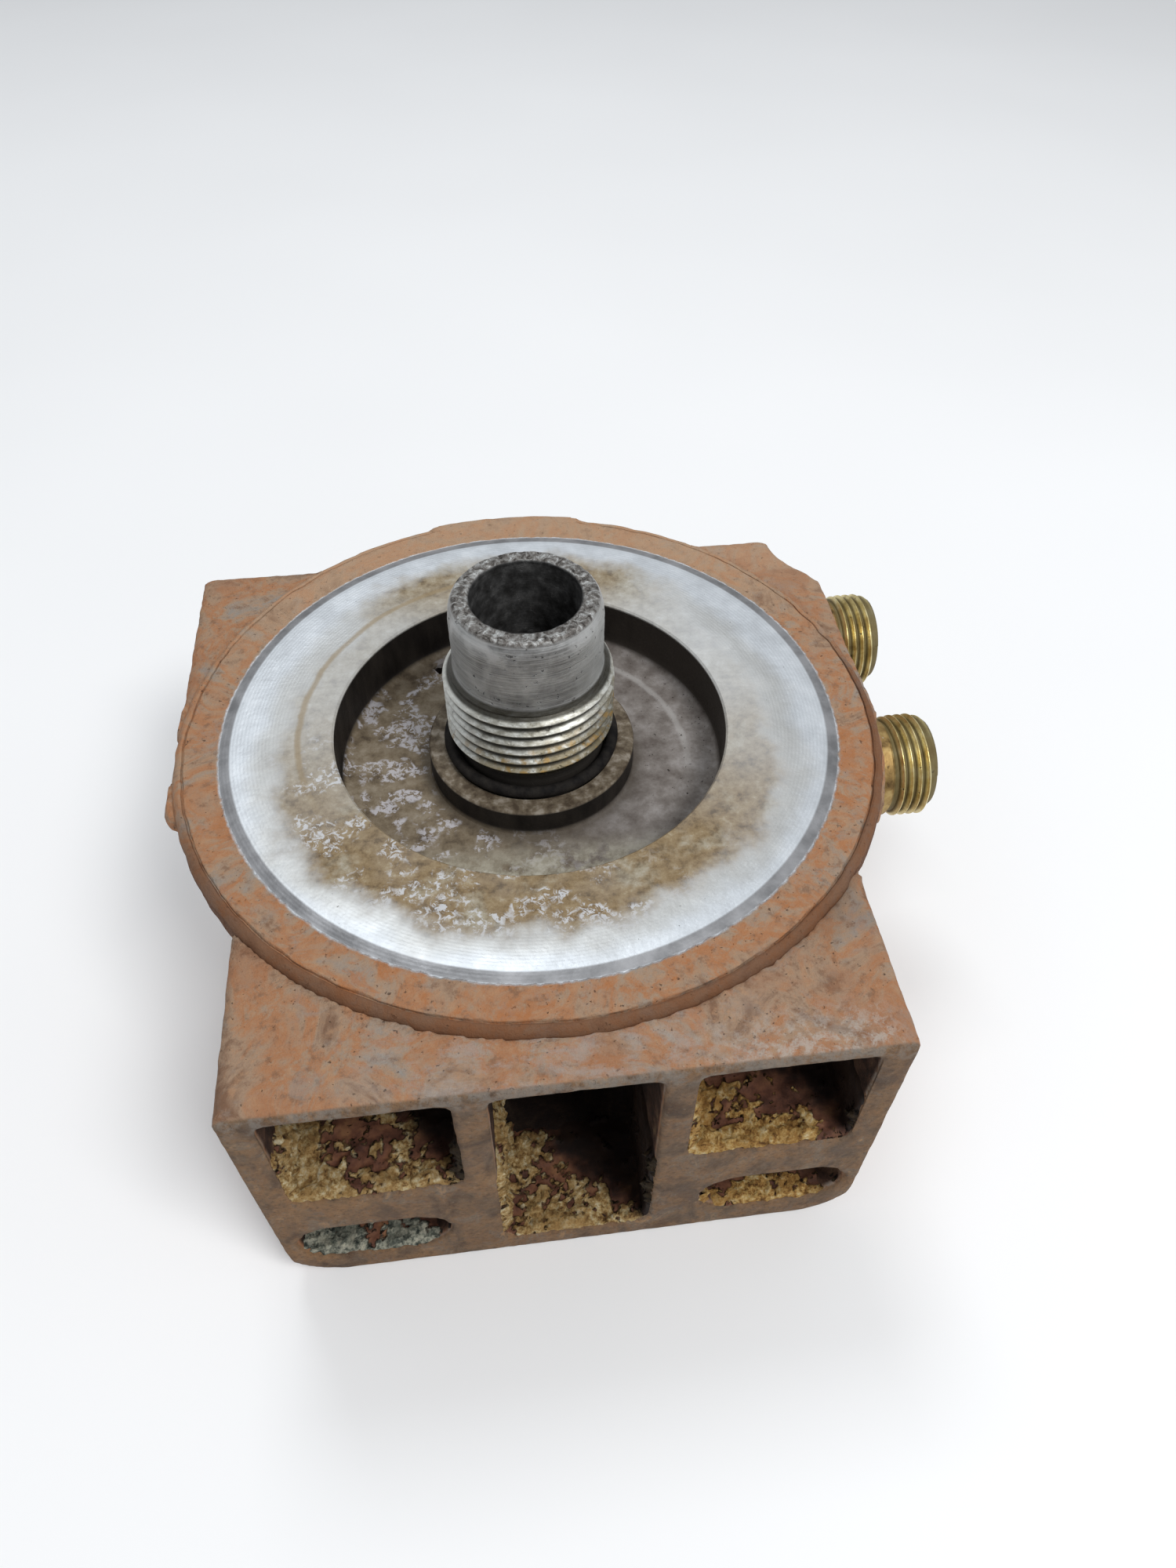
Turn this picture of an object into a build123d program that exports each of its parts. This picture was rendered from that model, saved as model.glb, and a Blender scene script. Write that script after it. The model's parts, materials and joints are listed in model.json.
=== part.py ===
"""Cast-iron head of a backflow preventer, in millimetres.

+Z is up. The origin is on the axis of the round seat, in the plane of its machined face.
-Y is the ported front face, +X is the side with the two brass test unions.

Water comes in at the tall centre port, lifts the check poppet and goes up the hollow nipple into
the screw-on cartridge. It comes back down the ring-shaped recess, and leaves through the two side
ports. The relief valve at the rear opens the outlet gallery to the air.
"""
import os
from math import hypot, radians, sin, tan

from build123d import *

os.makedirs("parts", exist_ok=True)

# ---------------------------------------------------------------- driving dimensions
# Round seat and its rim
SEAT_R = 48.5                # outer edge of the bright machined face
BEVEL_W = 1.5                # bevel around the machined face
LAND_DROP = 0.3              # as-cast land lies this much under the machined face
LAND_W = 5.7                 # as-cast land outside the bevel
BEAD_W = 1.9                 # rounded bead outside the land
BEAD_STEP = 0.25             # small step between land and bead
DECK_Z = -2.05               # top of the block around the round rim
RIM_T = 2.6                  # straight height of the rim's edge under the deck
RIM_CONE_H = 4.6             # height of the cone from the rim in to the block

# Ring-shaped recess and the boss for the nipple
RECESS_R = 32.05
RECESS_DEPTH = 9.35
RECESS_FILLET = 1.6
BOSS_R = 17.1
BOSS_TOP_Z = -4.3
BOSS_SINK_H = 0.7

# Block
HALF_W = 45.9
FRONT_Y = -64.25
BOTTOM_Z = -58.3
FOOT_Y = 16.0                # the deep part of the block ends here
REAR_Y = 46.0
REAR_BOTTOM_Z = -43.0
BOTTOM_CORNER_R = 9.0
EDGE_R = 0.9                 # small rounding of the cast edges

# Thin tabs at the rear and the side lug that carries the unions
TAB_LEFT_W = 12.1             # how far the plate stands out of the block
TAB_RIGHT_W = 12.6
TAB_LEFT_X = -(HALF_W + TAB_LEFT_W)
TAB_RIGHT_X = HALF_W + TAB_RIGHT_W
TAB_FRONT_Y = -13.5
TAB_RIGHT_FRONT_Y = -4.5     # the right side of the plate starts further back
TAB_BACK_Y = 47.0
TAB_T = 3.4
TAB_CUT_W = 6.2              # cut corner at the rear right
TAB_CUT_L = 7.8
TAB_STEP_W = 1.4
TAB_STEP_L = 6.0
LUG_BACK_Y = 43.5
LUG_BOTTOM_Z = -29.0
LUG_ROOT_W = 5.0             # how far the lug reaches into the block
LUG_CORNER_R = 9.0

# Rear boss for the relief valve
REAR_BOSS_HALF_W = 14.25
REAR_BOSS_Y = 56.3
REAR_BOSS_BOTTOM_Z = -38.0

# Ports and pockets of the front face
PORT_TOP_WALL = 2.45
PORT_CORNER_R = 1.2
CENTRE_PORT_W = 23.0
CENTRE_PORT_H = 49.0
SIDE_PORT_W = 24.5
SIDE_PORT_H = 24.8
PORT_RIB = 5.0               # rib between the centre port and a side port
PORT_DEPTH = 22.0
POCKET_L = 23.3
POCKET_H = 11.5
POCKET_X = 31.4
POCKET_Z = -46.3
POCKET_DEPTH = 14.0

# Inner passages
INLET_DUCT_W = 19.0
INLET_DUCT_H = 11.0
SIDE_DUCT_W = 20.0
SIDE_DUCT_H = 13.0
SIDE_DUCT_X = 28.0
SIDE_DUCT_TOP_Z = -25.0
GALLERY_Y0 = 17.0
GALLERY_Y1 = 36.0
GALLERY_TOP_Z = -14.0
KIDNEY_R0 = 21.0
KIDNEY_R1 = 29.0
KIDNEY_ANGLE = 66.0
CORE_R = 1.5                 # rounding of the cored passages

# Nipple
NIPPLE_THREAD_R = 13.5       # M27 x 2
NIPPLE_PITCH = 2.0
NIPPLE_BORE_R = 8.3
NIPPLE_TOP_Z = 25.4
NIPPLE_THREAD_TOP_Z = 13.2
NIPPLE_THREAD_BASE_Z = -0.8
NIPPLE_BOTTOM_Z = -13.0
NIPPLE_NECK_R = NIPPLE_THREAD_R - 1.1
BOSS_SINK_R = NIPPLE_THREAD_R + 0.6      # countersink at the mouth of the boss
PILOT_R = 11.75
PILOT_NOSE_R = 10.77
PILOT_NOSE_H = 1.7
NIPPLE_RING_WIRE_R = 0.95

# Check valve under the nipple
GUIDE_T = 3.5
GUIDE_R = 12.2
GUIDE_RIM_W = 2.6
GUIDE_HUB_R = 4.2
GUIDE_SPOKES = 3
GUIDE_SPOKE_W = 2.4
CHAMBER_R = 11.3
CHECK_LIP_Z = -36.0
CHECK_SEAT_H = 4.0
CHECK_SEAT_BORE_R = 6.5
CHECK_SEAT_LIP_R = 7.9
CHECK_LIP_H = 0.8
CHECK_SEAL_T = 2.0
CHECK_DISC_R = 9.0
CHECK_DISC_T = 3.0
CHECK_STEM_R = 2.5
CHECK_STEM_TOP_Z = -11.0
CHECK_SPIGOT_R = 2.0
CHECK_WASHER_R = 5.2
CHECK_WASHER_T = 1.2
CHECK_NUT_AF = 7.0
CHECK_NUT_H = 2.6
CHECK_SPRING_R = 5.6
CHECK_SPRING_WIRE_R = 0.6
CHECK_SPRING_TURNS = 5

# Relief valve in the rear boss
RELIEF_Z = -24.0
RELIEF_THROAT_R = 6.0
RELIEF_SEAT_R = 9.2
RELIEF_SEAT_Y0 = 38.0
RELIEF_SEAT_H = 3.2
RELIEF_SEAT_BORE_R = 4.6
RELIEF_LIP_H = 0.6
RELIEF_SEAL_T = 1.5
RELIEF_DISC_R = 7.2
RELIEF_DISC_T = 2.0
RELIEF_STEM_R = 2.0
RELIEF_STEM_L = 9.5
RELIEF_TRAVEL = 3.0
RELIEF_SPRING_R = 4.7
RELIEF_SPRING_WIRE_R = 0.5
RELIEF_SPRING_TURNS = 6
CAP_THREAD_R = 10.0          # M20 x 1.5
CAP_PITCH = 1.5
CAP_HEX_AF = 24.0
CAP_HEX_H = 7.0
CAP_POCKET_R = 6.4
CAP_FLOOR_T = 4.5
CAP_VENT_R = 1.5
CAP_WASHER_T = 1.5
CAP_WASHER_R = 12.5

# Test unions
UNION_Z = -16.5
UNION_FRONT_Y = -3.0
UNION_REAR_Y = 31.0
UNION_FACE_X = TAB_RIGHT_X + 0.5     # spot-faced pad that the union stands on
UNION_PAD_H = 5.5
UNION_TIP_X = UNION_FACE_X + 10.4
UNION_THREAD_R = 9.0         # M18 x 1.5
UNION_THREAD_L = 7.9
UNION_PITCH = 1.5
UNION_SPIGOT_R = 8.0         # M16 x 1.5
UNION_SHANK_R = UNION_SPIGOT_R + 0.7
UNION_SPIGOT_L = 13.0
UNION_SOCKET_R = 6.05
UNION_SOCKET_L = 7.6
UNION_MOUTH_R = 7.0
UNION_MOUTH_L = 3.2
UNION_THROAT_R = 3.2
UNION_CHAMBER_R = 4.6
UNION_CONE_L = 2.0
UNION_WASHER_R = UNION_SPIGOT_R + 1.9
UNION_PAD_R = UNION_WASHER_R + 1.5
UNION_WASHER_T = 1.5
TEST_BALL_R = 4.0
TEST_DRILL_R = 2.0
TEST_FRONT_DRILL_Z = -20.6
SLEEVE_L = 2.4
SLEEVE_BORE_R = 1.8
BALL_SPRING_R = 2.9
BALL_SPRING_WIRE_R = 0.3
BALL_SPRING_TURNS = 4

# Core plugs and tapped holes in the foot
CORE_PLUG_R = 9.0
CORE_PLUG_L = 5.0
CORE_PLUG_WALL = 1.4
CORE_PLUG_X = 27.0
CORE_PLUG_Z = -26.0
FOOT_HOLE_R = 3.4            # tapping hole for M8
FOOT_FRONT_HOLE_DEPTH = 12.0
FOOT_REAR_HOLE_DEPTH = 10.0
FOOT_SPACING_X = 68.0
FOOT_SPACING_Y = 40.0
FOOT_CENTRE_Y = -14.0

# Fits
THREAD_GAP = 0.05            # between a male thread's crest and its hole
SLIDE_GAP = 0.10             # stem in its guide
LOOSE_GAP = 0.10             # pieces dropped into a bore
SEAT_GAP = 0.15              # ball off its cone, so that curved faces don't overlap
CUT = 1.0                    # how far a cutting shape runs past a face

# ---------------------------------------------------------------- worked out from those
BEVEL_R = SEAT_R + BEVEL_W
LAND_R = BEVEL_R + LAND_W
RIM_R = LAND_R + BEAD_W
LAND_Z = -LAND_DROP
RIM_BOTTOM_Z = DECK_Z - RIM_T
RECESS_Z = -RECESS_DEPTH
PORT_TOP_Z = DECK_Z - PORT_TOP_WALL
PORT_BACK_Y = FRONT_Y + PORT_DEPTH
SIDE_PORT_X = CENTRE_PORT_W / 2 + PORT_RIB + SIDE_PORT_W / 2
GUIDE_Z = NIPPLE_BOTTOM_Z - GUIDE_T
CHECK_SEAT_Z = CHECK_LIP_Z - CHECK_SEAT_H
INLET_DUCT_Z = PORT_TOP_Z - CENTRE_PORT_H
CHECK_SEAL_TOP_Z = CHECK_LIP_Z + CHECK_SEAL_T
CHECK_DISC_TOP_Z = CHECK_SEAL_TOP_Z + CHECK_DISC_T
CHECK_WASHER_Z = CHECK_LIP_Z - CHECK_WASHER_T
CHECK_NUT_Z = CHECK_WASHER_Z - CHECK_NUT_H
RELIEF_LIP_Y = RELIEF_SEAT_Y0 + RELIEF_SEAT_H
RELIEF_DISC_Y = RELIEF_LIP_Y + RELIEF_SEAL_T
RELIEF_DISC_END_Y = RELIEF_DISC_Y + RELIEF_DISC_T
CAP_HEAD_Y = REAR_BOSS_Y + CAP_WASHER_T
CAP_END_Y = CAP_HEAD_Y + CAP_HEX_H
CAP_POCKET_Y = CAP_END_Y - CAP_FLOOR_T
CAP_SPIGOT_Y = RELIEF_DISC_END_Y + RELIEF_TRAVEL + 0.7
UNION_POCKET_X = UNION_FACE_X - UNION_WASHER_T - UNION_SPIGOT_L - CUT
UNION_INNER_X = UNION_FACE_X - UNION_SPIGOT_L
UNION_SOCKET_X = UNION_TIP_X - UNION_SOCKET_L
CONE_SLOPE = (UNION_CHAMBER_R - UNION_THROAT_R) / UNION_CONE_L
CONE_X = UNION_SOCKET_X - 1.6
BALL_X = CONE_X - ((TEST_BALL_R + SEAT_GAP) * hypot(1, CONE_SLOPE) - UNION_THROAT_R) / CONE_SLOPE
SLEEVE_X = UNION_INNER_X + SLEEVE_L


# ---------------------------------------------------------------- shapes used throughout
def block(x0, x1, y0, y1, z0, z1):
    """Box between two corners."""
    return Pos((x0 + x1) / 2, (y0 + y1) / 2, (z0 + z1) / 2) * Box(x1 - x0, y1 - y0, z1 - z0)


def rounded_block(x0, x1, y0, y1, z0, z1, radius, along=Axis.Y):
    """Box whose four edges along one axis are rounded."""
    shape = block(x0, x1, y0, y1, z0, z1)
    return fillet(shape.edges().filter_by(along), radius)


def rod(radius, z0, z1):
    """Cylinder on the Z axis."""
    return Pos(0, 0, (z0 + z1) / 2) * Cylinder(radius, z1 - z0)


def tube(outer_r, inner_r, z0, z1):
    """Hollow cylinder on the Z axis."""
    return rod(outer_r, z0, z1) - rod(inner_r, z0 - CUT, z1 + CUT)


def turned(points):
    """Solid turned about the Z axis from a closed outline of (radius, height) points."""
    outline = Polyline(*[(r, 0, z) for r, z in points], close=True)
    return revolve(make_face(outline), Axis.Z)


def hexagon(across_flats, z0, z1):
    """Hexagonal bar on the Z axis, with its corners chamfered like a nut's."""
    corner_r = across_flats / 3 ** 0.5
    drop = (corner_r - across_flats / 2) * tan(radians(30))
    bar = Pos(0, 0, z0) * extrude(RegularPolygon(corner_r, 6), amount=z1 - z0)
    cone = turned([(0, z0), (across_flats / 2, z0), (corner_r, z0 + drop),
                   (corner_r, z1 - drop), (across_flats / 2, z1), (0, z1)])
    return bar & cone


def coil(mean_r, wire_r, turns, z0, z1):
    """Compression spring that stands between two flat seats."""
    height = z1 - z0 - 2 * wire_r
    path = Helix(pitch=height / turns, height=height, radius=mean_r)
    section = Plane(origin=path @ 0, z_dir=path % 0) * Circle(wire_r)
    return Pos(0, 0, z0 + wire_r) * sweep(section, path=path, is_frenet=True)


def thread_points(crest_r, pitch, z0, z1):
    """Outline points of a V thread, drawn as rings, from z0 up to z1."""
    depth = 0.613 * pitch
    flat = pitch / 8
    count = int((z1 - z0) / pitch)
    start = z0 + (z1 - z0 - count * pitch) / 2
    points = [(crest_r - depth, z0)]
    for ring in range(count):
        base = start + ring * pitch
        points += [(crest_r - depth, base + flat), (crest_r, base + (pitch - flat) / 2),
                   (crest_r, base + (pitch + flat) / 2), (crest_r - depth, base + pitch - flat)]
    return points + [(crest_r - depth, z1)]


def along_x(shape, y, z):
    """Turn a Z-axis shape to point along +X, on the line at that y and z."""
    return Pos(0, y, z) * Rot(0, 90, 0) * shape


def along_y(shape, x, z):
    """Turn a Z-axis shape to point along +Y, on the line at that x and z."""
    return Pos(x, 0, z) * Rot(-90, 0, 0) * shape


# ---------------------------------------------------------------- casting
def seat_rim():
    """Round rim: machined face, bevel, land, rounded bead and the cone under it."""
    bead_top_z = LAND_Z - BEAD_STEP
    bead_h = bead_top_z - DECK_Z
    bead = [(LAND_R + BEAD_W * sin(radians(a)), DECK_Z + bead_h * sin(radians(90 - a)))
            for a in (0, 22, 45, 68, 90)]
    return turned([(0, 0), (SEAT_R, 0), (BEVEL_R, LAND_Z), (LAND_R, LAND_Z), *bead,
                   (RIM_R, RIM_BOTTOM_Z), (HALF_W, RIM_BOTTOM_Z - RIM_CONE_H),
                   (0, RIM_BOTTOM_Z - RIM_CONE_H)])


def main_block():
    """Deep front block with the shallower rear part behind it."""
    front = block(-HALF_W, HALF_W, FRONT_Y, FOOT_Y, BOTTOM_Z, DECK_Z)
    front = fillet(front.edges().filter_by(Axis.Y).group_by(Axis.Z)[0], BOTTOM_CORNER_R)
    rear = block(-HALF_W, HALF_W, 0, REAR_Y, REAR_BOTTOM_Z, DECK_Z - TAB_T)
    rear = fillet(rear.edges().filter_by(Axis.Y).group_by(Axis.Z)[0], BOTTOM_CORNER_R / 2)
    return front + rear


def rear_plate(z0, z1):
    """Plate with a square corner at the rear left and a cut corner at the rear right."""
    corner_x = TAB_RIGHT_X - TAB_CUT_W
    outline = Polyline((TAB_LEFT_X, TAB_FRONT_Y), (TAB_LEFT_X, TAB_BACK_Y),
                       (corner_x - TAB_STEP_W, TAB_BACK_Y), (corner_x, TAB_BACK_Y - TAB_STEP_L),
                       (TAB_RIGHT_X, TAB_BACK_Y - TAB_STEP_L - TAB_CUT_L),
                       (TAB_RIGHT_X, TAB_FRONT_Y), close=True)
    return Pos(0, 0, z0) * extrude(make_face(outline), amount=z1 - z0)


def rear_tabs():
    """Thin tabs that stand out past the block on both sides, with rounded corners."""
    plate = rear_plate(DECK_Z - TAB_T, DECK_Z)
    plate -= block(HALF_W, TAB_RIGHT_X + CUT, TAB_FRONT_Y - CUT, TAB_RIGHT_FRONT_Y,
                   DECK_Z - TAB_T - CUT, DECK_Z + CUT)
    return fillet(plate.edges().filter_by(Axis.Z), EDGE_R)


def side_lug():
    """Thick lug on the right with a round pad for each union."""
    lug = rear_plate(LUG_BOTTOM_Z, DECK_Z - TAB_T)
    lug &= block(HALF_W - LUG_ROOT_W, TAB_RIGHT_X, TAB_FRONT_Y, LUG_BACK_Y,
                 LUG_BOTTOM_Z, DECK_Z - TAB_T)
    outer_edges = lug.edges().filter_by(Axis.Z).group_by(Axis.X)[-1]
    lug = fillet(outer_edges.sort_by(Axis.Y)[:1], LUG_CORNER_R)
    for y in (UNION_FRONT_Y, UNION_REAR_Y):
        lug += along_x(rod(UNION_PAD_R, UNION_FACE_X - UNION_PAD_H, UNION_FACE_X), y, UNION_Z)
    return lug


def union_hole(y):
    """Threaded hole for a union, with the sink for its washer."""
    hole = rod(UNION_SPIGOT_R + THREAD_GAP, UNION_POCKET_X, UNION_FACE_X + CUT)
    hole += rod(UNION_WASHER_R + LOOSE_GAP, UNION_FACE_X - UNION_WASHER_T, UNION_FACE_X + CUT)
    return along_x(hole, y, UNION_Z)


def outlet_passages():
    """Side ports, the ducts behind them, the rear gallery and the slot up into the recess."""
    passages = []
    port_z = PORT_TOP_Z - SIDE_PORT_H
    for side in (-1, 1):
        x = side * SIDE_PORT_X
        passages.append(rounded_block(x - SIDE_PORT_W / 2, x + SIDE_PORT_W / 2, FRONT_Y - CUT,
                                      PORT_BACK_Y, port_z, PORT_TOP_Z, PORT_CORNER_R))
        x = side * SIDE_DUCT_X
        passages.append(rounded_block(x - SIDE_DUCT_W / 2, x + SIDE_DUCT_W / 2,
                                      PORT_BACK_Y - SIDE_DUCT_H / 3, GALLERY_Y1,
                                      SIDE_DUCT_TOP_Z - SIDE_DUCT_H, SIDE_DUCT_TOP_Z, CORE_R))
    half = SIDE_DUCT_X + SIDE_DUCT_W / 2
    passages.append(rounded_block(-half, half, GALLERY_Y0, GALLERY_Y1,
                                  SIDE_DUCT_TOP_Z - SIDE_DUCT_H, GALLERY_TOP_Z, CORE_R, Axis.X))
    slot = Rot(0, 0, 90 - KIDNEY_ANGLE / 2) * revolve(
        Plane.XZ * Pos((KIDNEY_R0 + KIDNEY_R1) / 2, (RECESS_Z + GALLERY_TOP_Z) / 2)
        * Rectangle(KIDNEY_R1 - KIDNEY_R0, RECESS_Z - GALLERY_TOP_Z + CUT), Axis.Z, KIDNEY_ANGLE)
    passages.append(slot)
    return passages


def inlet_passages():
    """Centre port, the duct under the check valve and the stepped bore up to the nipple."""
    port = rounded_block(-CENTRE_PORT_W / 2, CENTRE_PORT_W / 2, FRONT_Y - CUT, PORT_BACK_Y,
                         INLET_DUCT_Z, PORT_TOP_Z, PORT_CORNER_R)
    duct = rounded_block(-INLET_DUCT_W / 2, INLET_DUCT_W / 2, PORT_BACK_Y - CUT,
                         INLET_DUCT_W / 2, INLET_DUCT_Z, INLET_DUCT_Z + INLET_DUCT_H, CORE_R)
    hole_r = NIPPLE_THREAD_R + THREAD_GAP
    bore = turned([(0, BOSS_TOP_Z + CUT), (BOSS_SINK_R, BOSS_TOP_Z + CUT), (BOSS_SINK_R, BOSS_TOP_Z),
                   (hole_r, BOSS_TOP_Z - BOSS_SINK_H), (hole_r, NIPPLE_BOTTOM_Z),
                   (GUIDE_R + LOOSE_GAP, NIPPLE_BOTTOM_Z), (GUIDE_R + LOOSE_GAP, GUIDE_Z),
                   (CHAMBER_R, GUIDE_Z), (CHAMBER_R, CHECK_SEAT_Z),
                   (CHECK_SEAT_BORE_R + 0.5, CHECK_SEAT_Z),
                   (CHECK_SEAT_BORE_R + 0.5, INLET_DUCT_Z + INLET_DUCT_H - CUT),
                   (0, INLET_DUCT_Z + INLET_DUCT_H - CUT)])
    return [port, duct, bore]


def recess():
    """Ring-shaped recess with a rounded floor, and the drop above the boss."""
    middle_r = (RECESS_R + BOSS_R) / 2
    section = Pos(middle_r, (RECESS_Z + CUT) / 2) * Rectangle(RECESS_R - BOSS_R, CUT - RECESS_Z)
    section = fillet(section.vertices().group_by(Axis.Y)[0], RECESS_FILLET)
    return [revolve(Plane.XZ * section, Axis.Z), rod(BOSS_R + CUT, BOSS_TOP_Z, CUT)]


def relief_hole():
    """Stepped hole for the relief valve, from the gallery out through the rear boss."""
    hole_r = CAP_THREAD_R + THREAD_GAP
    hole = turned([(0, GALLERY_Y1 - CUT), (RELIEF_THROAT_R, GALLERY_Y1 - CUT),
                   (RELIEF_THROAT_R, RELIEF_SEAT_Y0), (RELIEF_SEAT_R, RELIEF_SEAT_Y0),
                   (RELIEF_SEAT_R, RELIEF_LIP_Y), (hole_r, RELIEF_LIP_Y),
                   (hole_r, REAR_BOSS_Y + CUT), (0, REAR_BOSS_Y + CUT)])
    return along_y(hole, 0, RELIEF_Z)


def core_plug_places():
    """Where the plugs sit: each shape points out of its hole, from its inner end."""
    inner = REAR_Y - CORE_PLUG_L
    side = Pos(-HALF_W + CORE_PLUG_L, (GALLERY_Y0 + GALLERY_Y1) / 2, CORE_PLUG_Z) * Rot(0, -90, 0)
    return [side, Pos(-CORE_PLUG_X, inner, CORE_PLUG_Z) * Rot(-90, 0, 0),
            Pos(CORE_PLUG_X, inner, CORE_PLUG_Z) * Rot(-90, 0, 0)]


def head_casting():
    rear_boss = rounded_block(-REAR_BOSS_HALF_W, REAR_BOSS_HALF_W, 0, REAR_BOSS_Y,
                              REAR_BOSS_BOTTOM_Z, LAND_Z, EDGE_R)
    casting = main_block() + rear_tabs() + side_lug() + rear_boss + seat_rim()
    cuts = recess() + inlet_passages() + outlet_passages() + [relief_hole()]
    for side in (-1, 1):
        pocket = extrude(Plane.XZ * Pos(side * POCKET_X, POCKET_Z) * SlotOverall(POCKET_L, POCKET_H),
                         amount=POCKET_DEPTH + CUT)
        cuts.append(Pos(0, FRONT_Y + POCKET_DEPTH, 0) * pocket)
    for y in (UNION_FRONT_Y, UNION_REAR_Y):
        cuts.append(union_hole(y))
    drill = rod(TEST_DRILL_R, CHAMBER_R - CUT, UNION_POCKET_X + CUT)
    cuts.append(along_x(drill, 0, TEST_FRONT_DRILL_Z))
    drill = rod(TEST_DRILL_R, SIDE_DUCT_X, UNION_POCKET_X + CUT)
    cuts.append(along_x(drill, UNION_REAR_Y, UNION_Z))
    for place in core_plug_places():
        cuts.append(place * rod(CORE_PLUG_R, -CORE_PLUG_L - CUT, CORE_PLUG_L + CUT))
    for x in (-FOOT_SPACING_X / 2, FOOT_SPACING_X / 2):
        for y, depth in ((-FOOT_SPACING_Y / 2, FOOT_FRONT_HOLE_DEPTH),
                         (FOOT_SPACING_Y / 2, FOOT_REAR_HOLE_DEPTH)):
            hole = rod(FOOT_HOLE_R, BOTTOM_Z - CUT, BOTTOM_Z + depth)
            cuts.append(Pos(x, FOOT_CENTRE_Y + y, 0) * hole)
    for cut in cuts:
        casting -= cut
    return casting


# ---------------------------------------------------------------- nipple and check valve
def centre_nipple():
    """Hollow nipple: lower thread, neck, upper thread and smooth pilot."""
    lower = thread_points(NIPPLE_THREAD_R, NIPPLE_PITCH, NIPPLE_BOTTOM_Z, BOSS_TOP_Z - BOSS_SINK_H)
    upper = thread_points(NIPPLE_THREAD_R, NIPPLE_PITCH, NIPPLE_THREAD_BASE_Z, NIPPLE_THREAD_TOP_Z)
    neck = [(NIPPLE_NECK_R, BOSS_TOP_Z - BOSS_SINK_H), (NIPPLE_NECK_R, NIPPLE_THREAD_BASE_Z)]
    pilot = [(PILOT_R, NIPPLE_THREAD_TOP_Z), (PILOT_R, NIPPLE_TOP_Z - PILOT_NOSE_H),
             (PILOT_NOSE_R + 0.3, NIPPLE_TOP_Z - 0.4), (PILOT_NOSE_R, NIPPLE_TOP_Z)]
    return turned([(NIPPLE_BORE_R, NIPPLE_BOTTOM_Z), *lower, *neck, *upper, *pilot,
                   (NIPPLE_BORE_R + 0.3, NIPPLE_TOP_Z), (NIPPLE_BORE_R, NIPPLE_TOP_Z - 0.4)])


def nipple_o_ring():
    """Ring around the neck, resting in the countersink of the boss."""
    mean_r = NIPPLE_NECK_R + LOOSE_GAP + NIPPLE_RING_WIRE_R
    return Pos(0, 0, BOSS_TOP_Z + NIPPLE_RING_WIRE_R + SEAT_GAP) * Torus(mean_r, NIPPLE_RING_WIRE_R)


def stem_guide():
    """Spoked disc with a hub for the poppet's stem."""
    rim = tube(GUIDE_R, GUIDE_R - GUIDE_RIM_W, GUIDE_Z, NIPPLE_BOTTOM_Z)
    hub = rod(GUIDE_HUB_R, GUIDE_Z, NIPPLE_BOTTOM_Z)
    guide = rim + hub
    for spoke in range(GUIDE_SPOKES):
        bar = block(0, GUIDE_R - GUIDE_RIM_W / 2, -GUIDE_SPOKE_W / 2, GUIDE_SPOKE_W / 2,
                    GUIDE_Z, NIPPLE_BOTTOM_Z)
        guide += Rot(0, 0, spoke * 360 / GUIDE_SPOKES) * bar
    return guide - rod(CHECK_STEM_R + SLIDE_GAP, GUIDE_Z - CUT, NIPPLE_BOTTOM_Z + CUT)


def check_seat_ring():
    """Pressed seat with a narrow raised lip."""
    return turned([(CHECK_SEAT_BORE_R, CHECK_SEAT_Z), (CHAMBER_R, CHECK_SEAT_Z),
                   (CHAMBER_R, CHECK_LIP_Z - CHECK_LIP_H),
                   (CHECK_SEAT_LIP_R + CHECK_LIP_H, CHECK_LIP_Z - CHECK_LIP_H),
                   (CHECK_SEAT_LIP_R, CHECK_LIP_Z), (CHECK_SEAT_BORE_R, CHECK_LIP_Z)])


def check_poppet():
    """Disc with a stem above, a collar for the spring and a spigot below."""
    return turned([(0, CHECK_NUT_Z), (CHECK_SPIGOT_R, CHECK_NUT_Z),
                   (CHECK_SPIGOT_R, CHECK_SEAL_TOP_Z), (CHECK_DISC_R, CHECK_SEAL_TOP_Z),
                   (CHECK_DISC_R, CHECK_DISC_TOP_Z - 0.8), (CHECK_DISC_R - 0.8, CHECK_DISC_TOP_Z),
                   (CHECK_STEM_R, CHECK_DISC_TOP_Z), (CHECK_STEM_R, CHECK_STEM_TOP_Z - 0.6),
                   (CHECK_STEM_R - 0.6, CHECK_STEM_TOP_Z), (0, CHECK_STEM_TOP_Z)])


# ---------------------------------------------------------------- relief valve
def relief_seat_ring():
    ring = turned([(RELIEF_SEAT_BORE_R, RELIEF_SEAT_Y0), (RELIEF_SEAT_R, RELIEF_SEAT_Y0),
                   (RELIEF_SEAT_R, RELIEF_LIP_Y - RELIEF_LIP_H),
                   (RELIEF_SEAT_BORE_R + 2 * RELIEF_LIP_H, RELIEF_LIP_Y - RELIEF_LIP_H),
                   (RELIEF_SEAT_BORE_R + RELIEF_LIP_H, RELIEF_LIP_Y),
                   (RELIEF_SEAT_BORE_R, RELIEF_LIP_Y)])
    return along_y(ring, 0, RELIEF_Z)


def relief_poppet():
    body = turned([(0, RELIEF_DISC_Y), (RELIEF_DISC_R, RELIEF_DISC_Y),
                   (RELIEF_DISC_R, RELIEF_DISC_END_Y), (RELIEF_STEM_R, RELIEF_DISC_END_Y),
                   (RELIEF_STEM_R, RELIEF_DISC_END_Y + RELIEF_STEM_L - 0.5),
                   (RELIEF_STEM_R - 0.5, RELIEF_DISC_END_Y + RELIEF_STEM_L),
                   (0, RELIEF_DISC_END_Y + RELIEF_STEM_L)])
    return along_y(body, 0, RELIEF_Z)


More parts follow.
